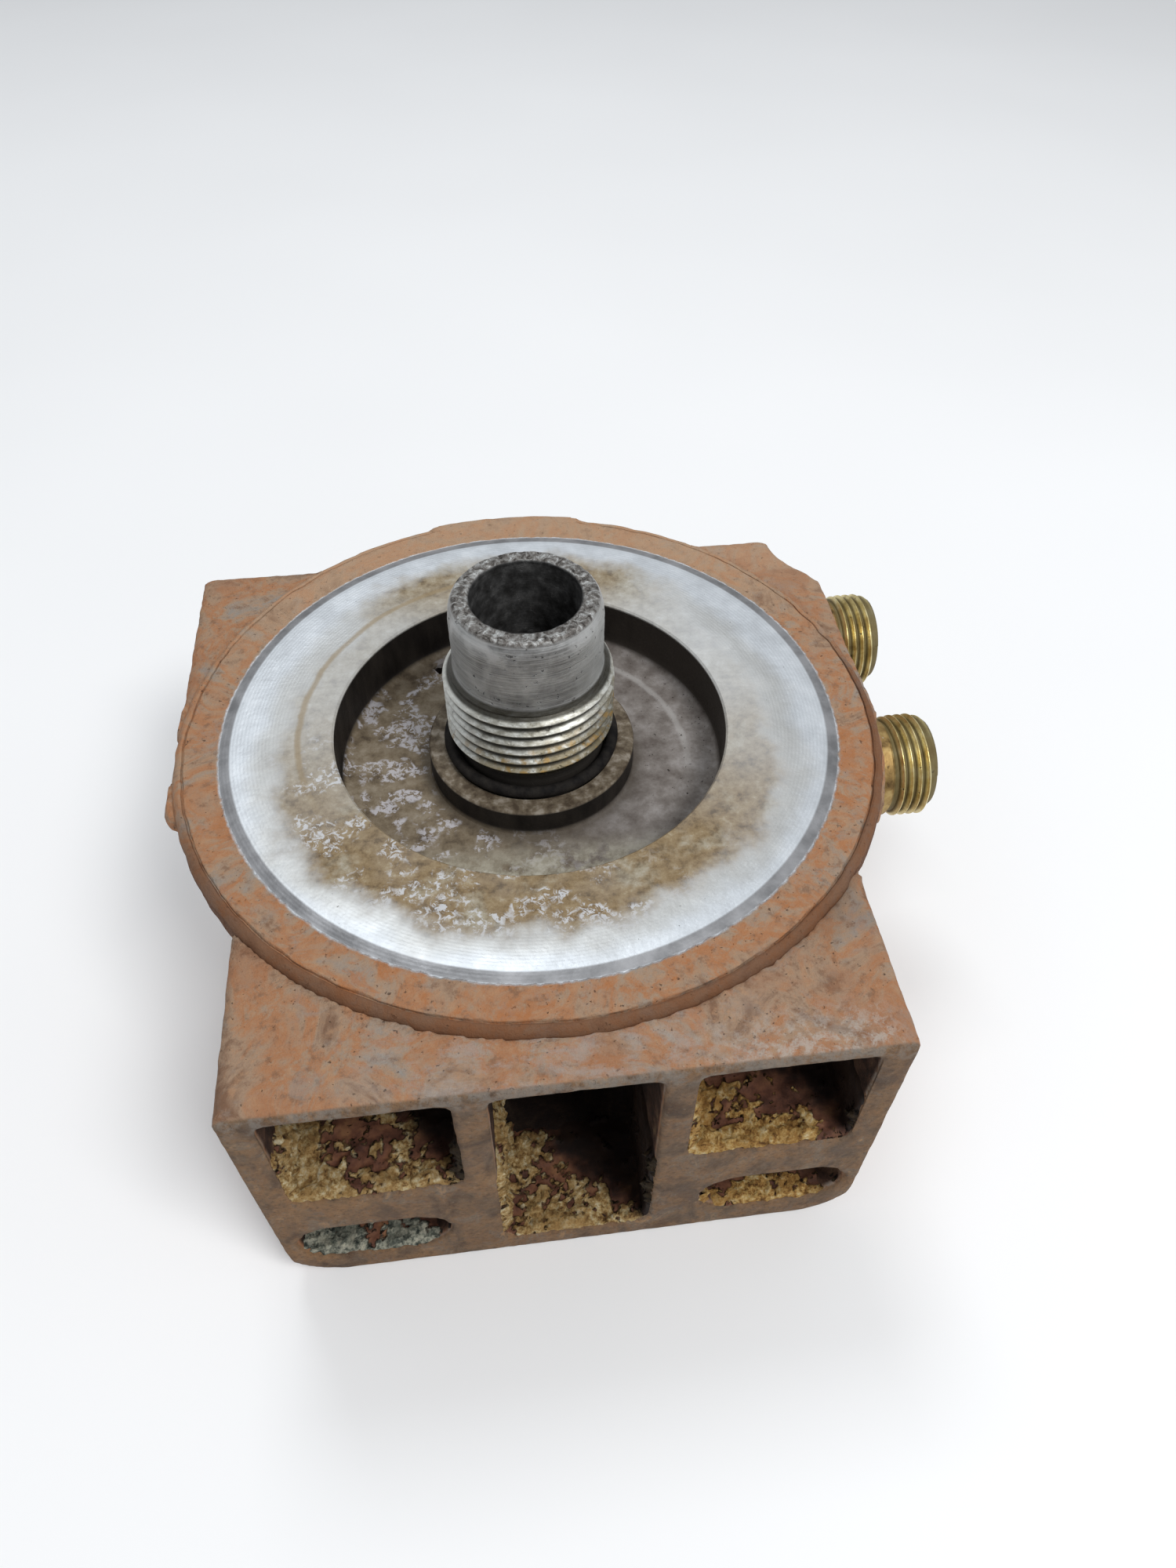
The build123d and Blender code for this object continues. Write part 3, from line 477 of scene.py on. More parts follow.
def rim_finish():
    """Machined seat with its brown stain, the bevel, and the rusted land and bead around it."""
    finish = Finish("machined_seat")
    r = finish.radius(finish.x, finish.y)
    wobble = (finish.grain(7.0, 5.0, 0.6) - 0.5) * 9.0
    wide = (finish.grain(24.0, 3.0, 0.5, 0.5, finish.stretched(1, 1, 1, 12.0)) - 0.5) * 9.0
    turned = finish.node("TexWave", {"wave_type": "RINGS", "rings_direction": "Z"},
                         {"Vector": finish.at, "Scale": 0.55, "Distortion": 0.6, "Detail": 3.0,
                          "Detail Scale": 0.6})
    cloud = finish.grain(5.5, 6.0, 0.6)
    bright = finish.ramp(cloud, (0.34, (0.55, 0.575, 0.60)), (0.52, (0.63, 0.66, 0.69)),
                         (0.66, (0.70, 0.73, 0.76)))
    ahead = finish.y.step(18.0, -30.0)
    behind = finish.y.step(22.0, 38.0)
    reach = r + wobble + wide * (1 - behind) - ahead * 4.5 - behind * 4.5
    stain_edge = reach.step(41.5, 36.0)
    soil = finish.grain(2.2, 7.0, 0.70)
    khaki = finish.ramp(soil, (0.34, (0.20, 0.160, 0.105)), (0.48, (0.33, 0.285, 0.205)),
                        (0.60, (0.41, 0.375, 0.30)), (0.72, (0.50, 0.485, 0.44)))
    brown = finish.ramp(soil, (0.34, (0.115, 0.078, 0.042)), (0.48, (0.235, 0.165, 0.088)),
                        (0.60, (0.300, 0.225, 0.130)), (0.72, (0.42, 0.36, 0.26)))
    browned = ahead.most(behind * 0.6) * finish.grain(9.0, 5.0, 0.6).step(0.34, 0.50)
    khaki = finish.blend(browned, khaki, brown)
    deep = (0.32 + ahead * 0.46 + behind * 0.45 - finish.x.step(18.0, 34.0) * 0.16
            + finish.grain(11.0, 3.0) * 0.42)
    colour = finish.blend(stain_edge * deep, bright, khaki)
    halo = (r + wobble * 0.6 + wide - ahead * 4.5).step(44.5, 40.5) * (1 - stain_edge)
    colour = finish.blend(halo * 0.5, colour, (0.42, 0.40, 0.35))
    front_left = (finish.x * -0.55 - finish.y * 0.83).step(14.0, 27.0)
    clumps = finish.grain(6.0, 4.0, 0.6, 0.0, finish.stretched(1, 1, 1, 91.0)).step(0.48, 0.58)
    flecks = finish.grain(1.2, 7.0, 0.72, 0.8).step(0.50, 0.56) * front_left * stain_edge * clumps
    colour = finish.blend(flecks * 0.85, colour, (0.60, 0.61, 0.63))
    ring_line = abs(r - 37.6 + wobble * 0.12).step(0.75, 0.2) * (finish.y - finish.x).step(10.0, 36.0)
    colour = finish.blend(ring_line * 0.6, colour, (0.30, 0.22, 0.12))
    specks = finish.grain(0.75, 4.0, 0.6).step(0.70, 0.745) * r.step(34.0, 40.0)
    colour = finish.blend(specks * 0.85, colour, (0.05, 0.045, 0.04))
    bevel = r.step(SEAT_R - 0.35, SEAT_R + 0.05) * r.step(50.3, 49.9)
    colour = finish.blend(bevel, colour, finish.ramp(cloud, (0.36, (0.21, 0.21, 0.215)),
                                                     (0.62, (0.36, 0.36, 0.37))))

    floor = finish.z.step(-7.4, -8.6)
    left = (finish.x * 0.9 + finish.y * 0.2).step(10.0, -14.0)
    dun = finish.ramp(finish.grain(3.0, 7.0, 0.68), (0.34, (0.085, 0.062, 0.040)),
                      (0.48, (0.175, 0.135, 0.088)), (0.66, (0.27, 0.225, 0.165)))
    pink = finish.ramp(finish.grain(4.0, 7.0, 0.66), (0.34, (0.120, 0.100, 0.088)),
                       (0.52, (0.205, 0.182, 0.165)), (0.70, (0.32, 0.295, 0.28)))
    floor_colour = finish.blend(left, pink, dun)
    outlines = finish.grain(7.0, 3.0, 0.6, 0.4, finish.stretched(1, 1, 1, 23.0)).step(0.49, 0.55)
    lilac = (finish.grain(1.1, 7.0, 0.72, 0.5).step(0.47, 0.54) * outlines
             * (finish.x + finish.y * 0.35).step(4.0, -14.0))
    floor_colour = finish.blend(lilac * 0.85, floor_colour, (0.50, 0.48, 0.50))
    swirl = (abs(r - 26.5 + wobble * 0.15).step(0.9, 0.2) * finish.x.step(6.0, 16.0)
             * finish.y.step(-12.0, 4.0))
    floor_colour = finish.blend(swirl * 0.5, floor_colour, (0.42, 0.40, 0.38))
    pits = finish.grain(0.6, 4.0, 0.6).step(0.64, 0.70) * finish.x.step(14.0, 24.0)
    floor_colour = finish.blend(pits, floor_colour, (0.02, 0.015, 0.012))
    pale = finish.y.step(-17.0, -25.0) * finish.grain(5.0, 5.0, 0.65).step(0.34, 0.50)
    floor_colour = finish.blend(pale * 0.9, floor_colour,
                                finish.ramp(soil, (0.36, (0.27, 0.240, 0.180)), (0.60, (0.50, 0.47, 0.38))))
    near_boss = r.step(20.0, 17.4) * 0.6
    floor_colour = finish.blend(near_boss, floor_colour, (0.07, 0.055, 0.04))
    colour = finish.blend(floor, colour, floor_colour)
    wall = finish.z.step(-0.35, -0.7) * finish.z.step(-9.1, -8.2) * r.step(33.2, 32.6)
    wall_colour = finish.ramp(finish.grain(3.0, 5.0, at=finish.stretched(1, 1, 0.3)),
                              (0.36, (0.008, 0.006, 0.005)), (0.66, (0.026, 0.021, 0.017)))
    wall_colour = finish.blend(finish.x.step(10.0, 28.0) * 0.8, wall_colour, (0.052, 0.042, 0.034))
    colour = finish.blend(wall, colour, wall_colour)
    collar = r.step(17.4, 17.0) * finish.z.step(-4.75, -4.45)
    collar_colour = finish.ramp(finish.grain(1.6, 5.0), (0.36, (0.070, 0.050, 0.032)),
                                (0.52, (0.150, 0.118, 0.080)), (0.68, (0.30, 0.26, 0.21)))
    colour = finish.blend(collar, colour, collar_colour)

    rusty = (r + (finish.grain(1.4, 4.0) - 0.5) * 0.9).step(50.0, 50.5)
    rust_colour, rust_rough, rust_height = rust(finish)
    near = (finish.y - finish.x * 0.25).step(8.0, -14.0)
    # Painted shade: near-black lines in the step between land and bead and at the bead's foot, on the front
    # half.
    step_shade_line = abs(r - 55.86).step(0.22, 0.05) * finish.z.step(-0.95, -0.5)
    foot = finish.z.step(-1.55, -1.95) * r.step(56.6, 57.0)
    land_patches = finish.grain(4.0, 6.0, 0.66, 0.6, finish.stretched(1, 1, 1, 63.0)).step(0.52, 0.62)
    rust_colour = finish.blend(land_patches * 0.6 * near, rust_colour, (0.40, 0.155, 0.055))
    rust_colour = finish.blend((step_shade_line.most(foot)) * 0.85 * near, rust_colour, (0.035, 0.02, 0.013))
    # Painted light: the land lighter towards the back, in the same tone as the sunlit deck.
    rust_colour = finish.blend(finish.y.step(10.0, 45.0) * 0.45, rust_colour, (0.50, 0.335, 0.215))
    bead = r.step(55.7, 56.0)
    rust_colour = finish.blend(bead * 0.80 * near, rust_colour, (0.150, 0.066, 0.032))
    colour = finish.blend(rusty, colour, rust_colour)

    metal = (1 - rusty) * (0.62 - stain_edge * 0.45) * (1 - wall) * (1 - floor * 0.7)
    smooth_seat = 0.36 + finish.grain(3.0, 5.0) * 0.16 + stain_edge * 0.22 + floor * 0.1
    rough = smooth_seat * (1 - rusty) + rust_rough * rusty
    height = finish.grain(0.9, 5.0, 0.6) * 0.10 + turned * 0.015 + stain_edge * finish.grain(0.7, 4.0) * 0.2
    height = height * (1 - rusty) + rust_height * rusty
    normal = finish.bumps((height, 0.8, 0.6), (finish.grain(0.3, 3.0, 0.7) * rusty, 0.25, 0.5))
    return finish.output(Base_Color=colour, Roughness=rough, Metallic=metal, Normal=normal,
                         Specular_IOR_Level=0.22)


def nipple_finish():
    """Dull turned steel, mottled end face, silver threads stained olive on one side."""
    finish = Finish("turned_steel")
    r = finish.radius(finish.x, finish.y)
    lines = finish.grain(1.0, 5.0, 0.7, 0.0, finish.stretched(0.10, 0.10, 4.5))
    cloud = finish.grain(4.5, 6.0, 0.62, 0.4)
    pilot = finish.ramp(cloud, (0.34, (0.17, 0.17, 0.165)), (0.50, (0.28, 0.282, 0.278)),
                        (0.68, (0.45, 0.45, 0.44)))
    pilot = finish.blend(lines.step(0.42, 0.62) * 0.45, pilot, (0.58, 0.58, 0.57))
    # Painted highlights: the pilot lighter on its right flank and, less, on its left.
    pilot = finish.blend(finish.x.step(3.0, 10.5) * 0.50, pilot, (0.66, 0.67, 0.65))
    pilot = finish.blend(finish.x.step(-5.5, -10.5) * 0.25, pilot, (0.60, 0.61, 0.60))
    bright_band = finish.z.step(19.5, 22.5) * finish.z.step(24.8, 24.0)
    pilot = finish.blend(bright_band * cloud.step(0.42, 0.60) * 0.55, pilot, (0.58, 0.585, 0.58))
    specks = finish.grain(1.1, 4.0, 0.62).step(0.63, 0.69)
    pilot = finish.blend(specks * 0.85, pilot, (0.025, 0.022, 0.02))
    silver = finish.ramp(finish.grain(1.0, 6.0, 0.68, 0.3, finish.stretched(0.5, 0.5, 1.6)),
                         (0.34, (0.24, 0.235, 0.205)), (0.48, (0.54, 0.54, 0.49)),
                         (0.60, (0.84, 0.85, 0.80)))
    lower = (finish.z - finish.x * 0.22).step(9.0, 2.0)
    olive = finish.grain(2.2, 6.0, 0.68, 0.5).step(0.40, 0.54) * (lower * 0.75 + 0.25)
    silver = finish.blend(olive * 0.8, silver, (0.24, 0.180, 0.070))
    silver = finish.blend(finish.x.step(-4.0, 2.0) * lower * 0.55, silver, (0.12, 0.095, 0.050))
    # Painted highlight: the threads near white on their left flank.
    silver = finish.blend(finish.x.step(-7.0, -12.0) * 0.5, silver, (0.95, 0.96, 0.92))
    amber = finish.grain(2.0, 5.0, 0.6, 0.3, finish.stretched(1, 1, 1, 41.0)).step(0.54, 0.62) * lower
    silver = finish.blend(amber * 0.7, silver, (0.38, 0.22, 0.050))
    root = r.step(13.15, 12.65)
    silver = finish.blend(root * 0.92, silver, (0.028, 0.024, 0.016))
    thread = finish.z.step(PILOT_BASE + 0.3, PILOT_BASE - 0.3)
    colour = finish.blend(thread, pilot, silver)
    end = finish.z.step(NIPPLE_TOP - 0.75, NIPPLE_TOP - 0.25)
    mottle = finish.ramp(finish.grain(1.1, 7.0, 0.70, 0.6), (0.36, (0.035, 0.030, 0.026)),
                         (0.48, (0.19, 0.175, 0.160)), (0.56, (0.36, 0.355, 0.34)),
                         (0.66, (0.66, 0.67, 0.66)))
    colour = finish.blend(end, colour, mottle)
    bore = r.step(NIPPLE_BORE_R + 0.5, NIPPLE_BORE_R + 0.1)
    bore_colour = finish.ramp(finish.grain(2.2, 6.0, 0.68), (0.36, (0.012, 0.011, 0.010)),
                              (0.52, (0.045, 0.044, 0.043)), (0.70, (0.12, 0.118, 0.115)))
    colour = finish.blend(bore, colour, bore_colour)
    neck = finish.z.step(NECK_TOP + 0.5, NECK_TOP - 0.2)
    colour = finish.blend(neck, colour, (0.028, 0.023, 0.018))
    rough = 0.34 + cloud * 0.22 + specks * 0.25 + bore * 0.35 + neck * 0.3
    metal = (0.85 - specks * 0.6 - olive * thread * 0.3) * (1 - bore * 0.7) * (1 - neck * 0.7)
    normal = finish.bumps((lines * 0.5 + cloud * 0.3 - specks * 0.8, 0.25, 0.7),
                          (finish.grain(0.8, 5.0, 0.7) * end, 0.4, 0.8))
    return finish.output(Base_Color=colour, Roughness=rough, Metallic=metal, Normal=normal)


def brass_finish(name, axis_y, axis_z):
    """Turned brass: bright crests, tarnished roots and a brown shank. The axis runs along X."""
    finish = Finish(name)
    r = finish.radius(finish.y - axis_y, finish.z - axis_z)
    cloud = finish.grain(2.8, 6.0, 0.62, 0.3)
    brass = finish.ramp(cloud, (0.34, (0.46, 0.35, 0.13)), (0.50, (0.72, 0.60, 0.27)),
                        (0.68, (0.90, 0.82, 0.50)))
    root = r.step(UNION_THREAD_R - 0.25, UNION_THREAD_R - 0.8)
    brass = finish.blend(root * 0.85, brass, (0.075, 0.05, 0.014))
    shank = finish.x.step(UNION_TIP - UNION_THREAD_L + 0.25, UNION_TIP - UNION_THREAD_L - 0.15)
    dull = finish.ramp(cloud, (0.34, (0.11, 0.065, 0.025)), (0.52, (0.34, 0.22, 0.080)),
                       (0.68, (0.52, 0.38, 0.16)))
    colour = finish.blend(shank, brass, dull)
    dots = finish.cells(1.3).step(0.20, 0.10) * finish.grain(2.0, 3.0).step(0.50, 0.60)
    colour = finish.blend(dots * 0.7, colour, (0.04, 0.025, 0.01))
    chalk = finish.grain(1.6, 5.0, 0.7).step(0.64, 0.70) * shank
    colour = finish.blend(chalk * 0.7, colour, (0.50, 0.48, 0.42))
    inner = r.step(UNION_SOCKET_R + 0.7, UNION_SOCKET_R + 0.2)
    colour = finish.blend(inner * 0.7, colour, (0.14, 0.095, 0.03))
    turning = finish.grain(1.0, 4.0, 0.7, 0.0, finish.stretched(4.5, 0.2, 0.2))
    rough = 0.24 + cloud * 0.22 + root * 0.3 + shank * 0.15
    metal = 0.82 - root * 0.45 - chalk * 0.6
    normal = finish.bumps((turning * 0.5 + cloud * 0.4 - dots, 0.15, 0.7))
    return finish.output(Base_Color=colour, Roughness=rough, Metallic=metal, Normal=normal)


def scale_finish(name, rough_tones, smooth_tones):
    """Mineral scale: crumbly where the mesh is covered, smooth rust where it isn't, black in the shade.

    Each mesh carries its own cover and shade, from 0 to 1.
    """
    finish = Finish(name)
    cover = finish.node("Attribute", {"attribute_name": "cover"}, out="Fac")
    shade = finish.node("Attribute", {"attribute_name": "shade"}, out="Fac")
    lumps = finish.grain(1.3, 7.0, 0.72)
    ragged = (cover + (finish.grain(1.4, 7.0, 0.76) - 0.5) * 2.0).step(0.32, 0.62)
    stops = (0.37, 0.46, 0.54, 0.66)
    crumbs = finish.ramp(lumps, *zip(stops, rough_tones))
    tint = finish.grain(6.0, 4.0, 0.6, 0.3, finish.stretched(1, 1, 1, 15.0)).step(0.44, 0.62)
    crumbs = finish.blend(tint * 0.55, crumbs, rough_tones[1])
    smooth_rust = finish.ramp(finish.grain(3.5, 5.0, 0.62), *zip(stops, smooth_tones))
    colour = finish.blend(ragged, smooth_rust, crumbs)
    holes = finish.grain(0.55, 4.0, 0.65).step(0.60, 0.70) * ragged
    colour = finish.blend(holes * 0.7, colour, rough_tones[0])
    colour = finish.blend(shade * 0.93, colour, (0.009, 0.006, 0.005))
    fine = finish.grain(0.35, 5.0, 0.75)
    normal = finish.bumps((lumps * ragged, 1.0, 0.9), (fine * (0.25 + ragged * 0.75), 0.35, 0.8))
    return finish.output(Base_Color=colour, Roughness=0.92 - (1 - ragged) * 0.25, Normal=normal,
                         Specular_IOR_Level=0.2)


def plain_metal(name, dark, light, size, metal=0.9, rough=0.35, line=(1, 1, 1)):
    """Small turned, drawn or ground metal pieces."""
    finish = Finish(name)
    cloud = finish.grain(size, 6.0, 0.62, 0.2)
    marks = finish.grain(0.5, 4.0, 0.7, 0.0, finish.stretched(*line))
    colour = finish.ramp(cloud, (0.35, dark), (0.65, light))
    spots = finish.grain(size * 0.5, 5.0, 0.7).step(0.64, 0.72)
    colour = finish.blend(spots * 0.6, colour, tuple(c * 0.35 for c in dark))
    normal = finish.bumps((marks * 0.6 + cloud * 0.4, 0.15, 0.6))
    return finish.output(Base_Color=colour, Roughness=rough + cloud * 0.25 + spots * 0.2,
                         Metallic=metal - spots * 0.3, Normal=normal)


def rubber_finish():
    """Black moulded rubber, dusty in patches."""
    finish = Finish("moulded_rubber")
    dust = finish.grain(2.5, 6.0, 0.65)
    colour = finish.ramp(dust, (0.40, (0.007, 0.006, 0.006)), (0.72, (0.030, 0.026, 0.022)))
    normal = finish.bumps((finish.grain(0.4, 4.0, 0.7), 0.1, 0.5))
    return finish.output(Base_Color=colour, Roughness=0.65 + dust * 0.3, Normal=normal,
                         Specular_IOR_Level=0.15)


# ---------------------------------------------------------------- casting
def casting_skin():
    """As-cast body: the cored block, with its edges softened and its skin pitted."""
    piece = twin(frame["nodes"]["head_casting"], "casting_body")
    piece.parent = None
    bpy.ops.object.mode_set(mode="EDIT")
    bpy.ops.mesh.select_all(action="SELECT")
    bpy.ops.mesh.remove_doubles(threshold=2e-6)
    bpy.ops.object.mode_set(mode="OBJECT")
    modify(piece, "REMESH", mode="VOXEL", voxel_size=1.0 * MM, adaptivity=0.0)
    modify(piece, "SMOOTH", factor=0.5, iterations=2)
    normals = [v.normal.copy() for v in piece.data.vertices]
    for vertex, normal in zip(piece.data.vertices, normals):
        vertex.co += normal * skin_depth(vertex.co / MM) * MM
        vertex.co.z += bead_fillet(vertex.co / MM) * MM
        vertex.co = sunk_under_rim(vertex.co / MM) * MM
        for axis in range(3):
            vertex.co[axis] = min(max(vertex.co[axis], cad_box[0][axis]), cad_box[1][axis])
    smooth(piece, 60)
    return piece


def skin_depth(point):
    """How far the cast skin lies off its nominal surface, in mm, never above it."""
    coarse = roughness_at(point, 7.0) * 0.10
    pitted = roughness_at(point + Vector((50, 0, 0)), 1.9) * 0.11
    if point.y < FRONT + 0.8:
        return min(0.0, (coarse + pitted) * 0.5 - 0.04)
    return min(0.0, coarse + pitted - 0.10)


def bead_fillet(point):
    """Rise of the deck where it meets the foot of the rim's bead, in mm."""
    out = hypot(point.x, point.y) - RIM_R
    if abs(point.z - DECK) > 0.5 or not -1.5 < out < 2.4:
        return 0.0
    return 0.55 * (1 - max(0.0, out) / 2.4) ** 2


def sunk_under_rim(point):
    """Draw the body in where the turned rim piece covers it."""
    r = hypot(point.x, point.y)
    if r > RIM_R + 0.5 or point.z < RIM_PIECE_BOTTOM + 0.6:
        return point
    if abs(point.x) < 14.6 and point.y > 50.0:
        return point - Vector((0, 0, 0.8 * min(1.0, max(0.0, 56.6 - r))))
    new_r, new_z = r, point.z
    if r > HALF_W:
        if point.z > DECK - 0.4 or abs(point.x) > HALF_W + 0.3 or point.y > HALF_W + 0.3:
            new_r = r - 0.7
    elif r > RECESS_R - 0.8:
        new_r = max(r, RECESS_R + 0.7)
    elif BOSS_HOLE_R + 0.8 < r < BOSS_R + 0.6:
        new_r = min(r, BOSS_R - 0.7)
    if r > BOSS_HOLE_R - 0.4:
        new_z = point.z - 0.8
    return Vector((point.x * new_r / r, point.y * new_r / r, new_z))


def turned_rim():
    """Machined seat, recess and rusted rim, turned as one ring with a slot through its floor."""
    outline = [
        (BOSS_HOLE_R, RIM_PIECE_BOTTOM), (BOSS_HOLE_R, -5.0), (14.1, BOSS_TOP),
        (BOSS_R - 0.35, BOSS_TOP), (BOSS_R, BOSS_TOP - 0.35), (BOSS_R, -8.7),
        (BOSS_R + 0.25, -9.15), (BOSS_R + 0.8, RECESS_FLOOR),
        (RECESS_R - 1.6, RECESS_FLOOR), (RECESS_R - 0.8, RECESS_FLOOR + 0.22),
        (RECESS_R - 0.22, RECESS_FLOOR + 0.8), (RECESS_R, RECESS_FLOOR + 1.6),
        (RECESS_R, -0.3), (RECESS_R + 0.3, 0.0),
        (SEAT_R - 0.1, 0.0), (SEAT_R + 0.1, -0.03), (49.9, -0.29), (50.1, -0.33),
        (LAND_R - 0.15, -0.30), (LAND_R, -0.42), (LAND_R + 0.1, -0.85), (LAND_R + 0.25, -0.85),
        (LAND_R + 0.38, -0.52), (LAND_R + 0.75, -0.42), (LAND_R + 1.15, -0.62),
        (LAND_R + 1.55, -1.05), (LAND_R + 1.8, -1.6), (RIM_R, -2.3),
        (RIM_R, RIM_UNDER), (HALF_W + 0.1, CONE_FOOT), (HALF_W - 1.2, RIM_PIECE_BOTTOM),
    ]
    piece = lathe("machined_rim", divided(outline, 1.1), steps=300)
    for vertex in piece.data.vertices:
        point = vertex.co / MM
        r = hypot(point.x, point.y)
        if r > 50.2 and point.z < -0.2:
            drop = roughness_at(point, 3.5) * 0.10 + roughness_at(point, 1.2) * 0.07 - 0.08
            vertex.co.z += min(0.0, drop) * MM
            shift = 1 + min(0.0, roughness_at(point + Vector((9, 9, 9)), 4.0) * 0.25 - 0.1) / r
            vertex.co.x *= shift
            vertex.co.y *= shift
        if r > LAND_R - 0.1 and point.z > -2.4 and point.y > 50.0 and abs(point.x) < REAR_BOSS_HALF_W:
            vertex.co.z = (REAR_BOSS_TOP - 0.45 * max(0.0, r - RIM_R + 0.4)) * MM
    pick(piece)
    bpy.ops.object.mode_set(mode="EDIT")
    bpy.ops.mesh.select_mode(type="FACE")
    bpy.ops.mesh.select_all(action="DESELECT")
    bpy.ops.object.mode_set(mode="OBJECT")
    for face in piece.data.polygons:
        centre = face.center / MM
        r = hypot(centre.x, centre.y)
        behind = abs(atan2(centre.x, centre.y)) < SLOT_HALF_ANGLE
        on_floor = RECESS_FLOOR - 0.3 < centre.z < RECESS_FLOOR + 0.1
        underneath = centre.z < RIM_PIECE_BOTTOM + 0.3
        face.select = behind and SLOT_INNER_R < r < SLOT_OUTER_R and (on_floor or underneath)
    bpy.ops.object.mode_set(mode="EDIT")
    bpy.ops.mesh.bridge_edge_loops()
    bpy.ops.object.mode_set(mode="OBJECT")
    smooth(piece, 35)
    return piece


# ---------------------------------------------------------------- nipple and unions
def nipple():
    """Hollow nipple with a helical thread above and below its neck."""
    root = NIPPLE_THREAD_R - THREAD_DEPTH * NIPPLE_PITCH
    outline = [
        (NIPPLE_BORE_R, NIPPLE_BOTTOM), (root, NIPPLE_BOTTOM), (root, BOSS_TOP - 0.7),
        (NECK_R - 0.4, BOSS_TOP - 0.2), (NECK_R - 0.4, NECK_TOP - 0.5), (root, NECK_TOP),
        (root, PILOT_BASE - 0.8), (PILOT_R + 0.1, PILOT_BASE - 0.1), (PILOT_R, PILOT_BASE + 0.4),
        (PILOT_R, NIPPLE_TOP - 3.0), (PILOT_R - 0.12, NIPPLE_TOP - 1.9),
        (PILOT_R - 0.42, NIPPLE_TOP - 0.9), (PILOT_R - 0.8, NIPPLE_TOP - 0.2),
        (PILOT_R - 1.15, NIPPLE_TOP), (NIPPLE_BORE_R + 0.5, NIPPLE_TOP),
        (NIPPLE_BORE_R + 0.12, NIPPLE_TOP - 0.15), (NIPPLE_BORE_R, NIPPLE_TOP - 0.6),
    ]
    body = lathe("nipple", divided(outline, 1.0), steps=160)
    for vertex in body.data.vertices:
        point = vertex.co / MM
        r = hypot(point.x, point.y)
        if point.z > PILOT_BASE + 0.5 or r < NIPPLE_BORE_R + 0.2:
            wear = min(0.0, roughness_at(point, 1.6) * 0.06 - 0.03)
            if point.z > NIPPLE_TOP - 0.5:
                vertex.co.z += wear * 2.0 * MM
            if r > PILOT_R - 1.5:
                vertex.co.x *= 1 + wear / r
                vertex.co.y *= 1 + wear / r
    upper = helix("upper_thread", NIPPLE_THREAD_R, NIPPLE_PITCH, NECK_TOP - 0.3, PILOT_BASE + 0.2, 120)
    lower = helix("lower_thread", NIPPLE_THREAD_R, NIPPLE_PITCH, NIPPLE_BOTTOM, BOSS_TOP - 0.9, 72)
    piece = join("nipple", body, upper, lower)
    smooth(piece, 30)
    return piece


def union_body():
    """Brass union turned about Z with its tip up, ready to be laid along X."""
    root = UNION_THREAD_R - THREAD_DEPTH * UNION_PITCH
    shank = UNION_TIP - UNION_THREAD_L
    inner_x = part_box("front_union")[0][0] / MM
    spigot_root = UNION_SPIGOT_R - THREAD_DEPTH * UNION_PITCH
    outline = [
        (4.6, inner_x), (spigot_root, inner_x), (spigot_root, UNION_FACE - 1.6),
        (8.05, UNION_FACE - 1.5), (8.05, UNION_FACE), (8.5, UNION_FACE), (8.7, UNION_FACE + 0.2),
        (8.7, shank - 0.35), (8.45, shank - 0.1), (root, shank + 0.35), (root, UNION_TIP - 0.9),
        (root - 0.5, UNION_TIP), (7.15, UNION_TIP), (6.95, UNION_TIP - 0.25),
        (UNION_SOCKET_R, UNION_TIP - 3.2), (UNION_SOCKET_R, UNION_TIP - 7.6),
        (3.4, UNION_TIP - 7.6), (3.2, UNION_TIP - 7.8), (3.2, UNION_TIP - 9.2),
        (4.6, UNION_TIP - 11.2),
    ]
    body = lathe("union", divided(outline, 1.2), steps=128)
    outer = helix("union_thread", UNION_THREAD_R, UNION_PITCH, shank - 0.1, UNION_TIP + 0.35, 96)
    for vertex in outer.data.vertices:
        r = hypot(vertex.co.x, vertex.co.y) / MM
        reach = UNION_THREAD_R - max(0.0, vertex.co.z / MM - (UNION_TIP - 0.8)) * 1.1
        if r > reach:
            vertex.co.x *= reach / r
            vertex.co.y *= reach / r
        vertex.co.z = min(vertex.co.z, (UNION_TIP - 0.02) * MM)
    spigot = helix("spigot_thread", UNION_SPIGOT_R, UNION_PITCH, inner_x, UNION_FACE - 1.6, 60)
    piece = join("union", body, outer, spigot)
    smooth(piece, 30)
    return piece


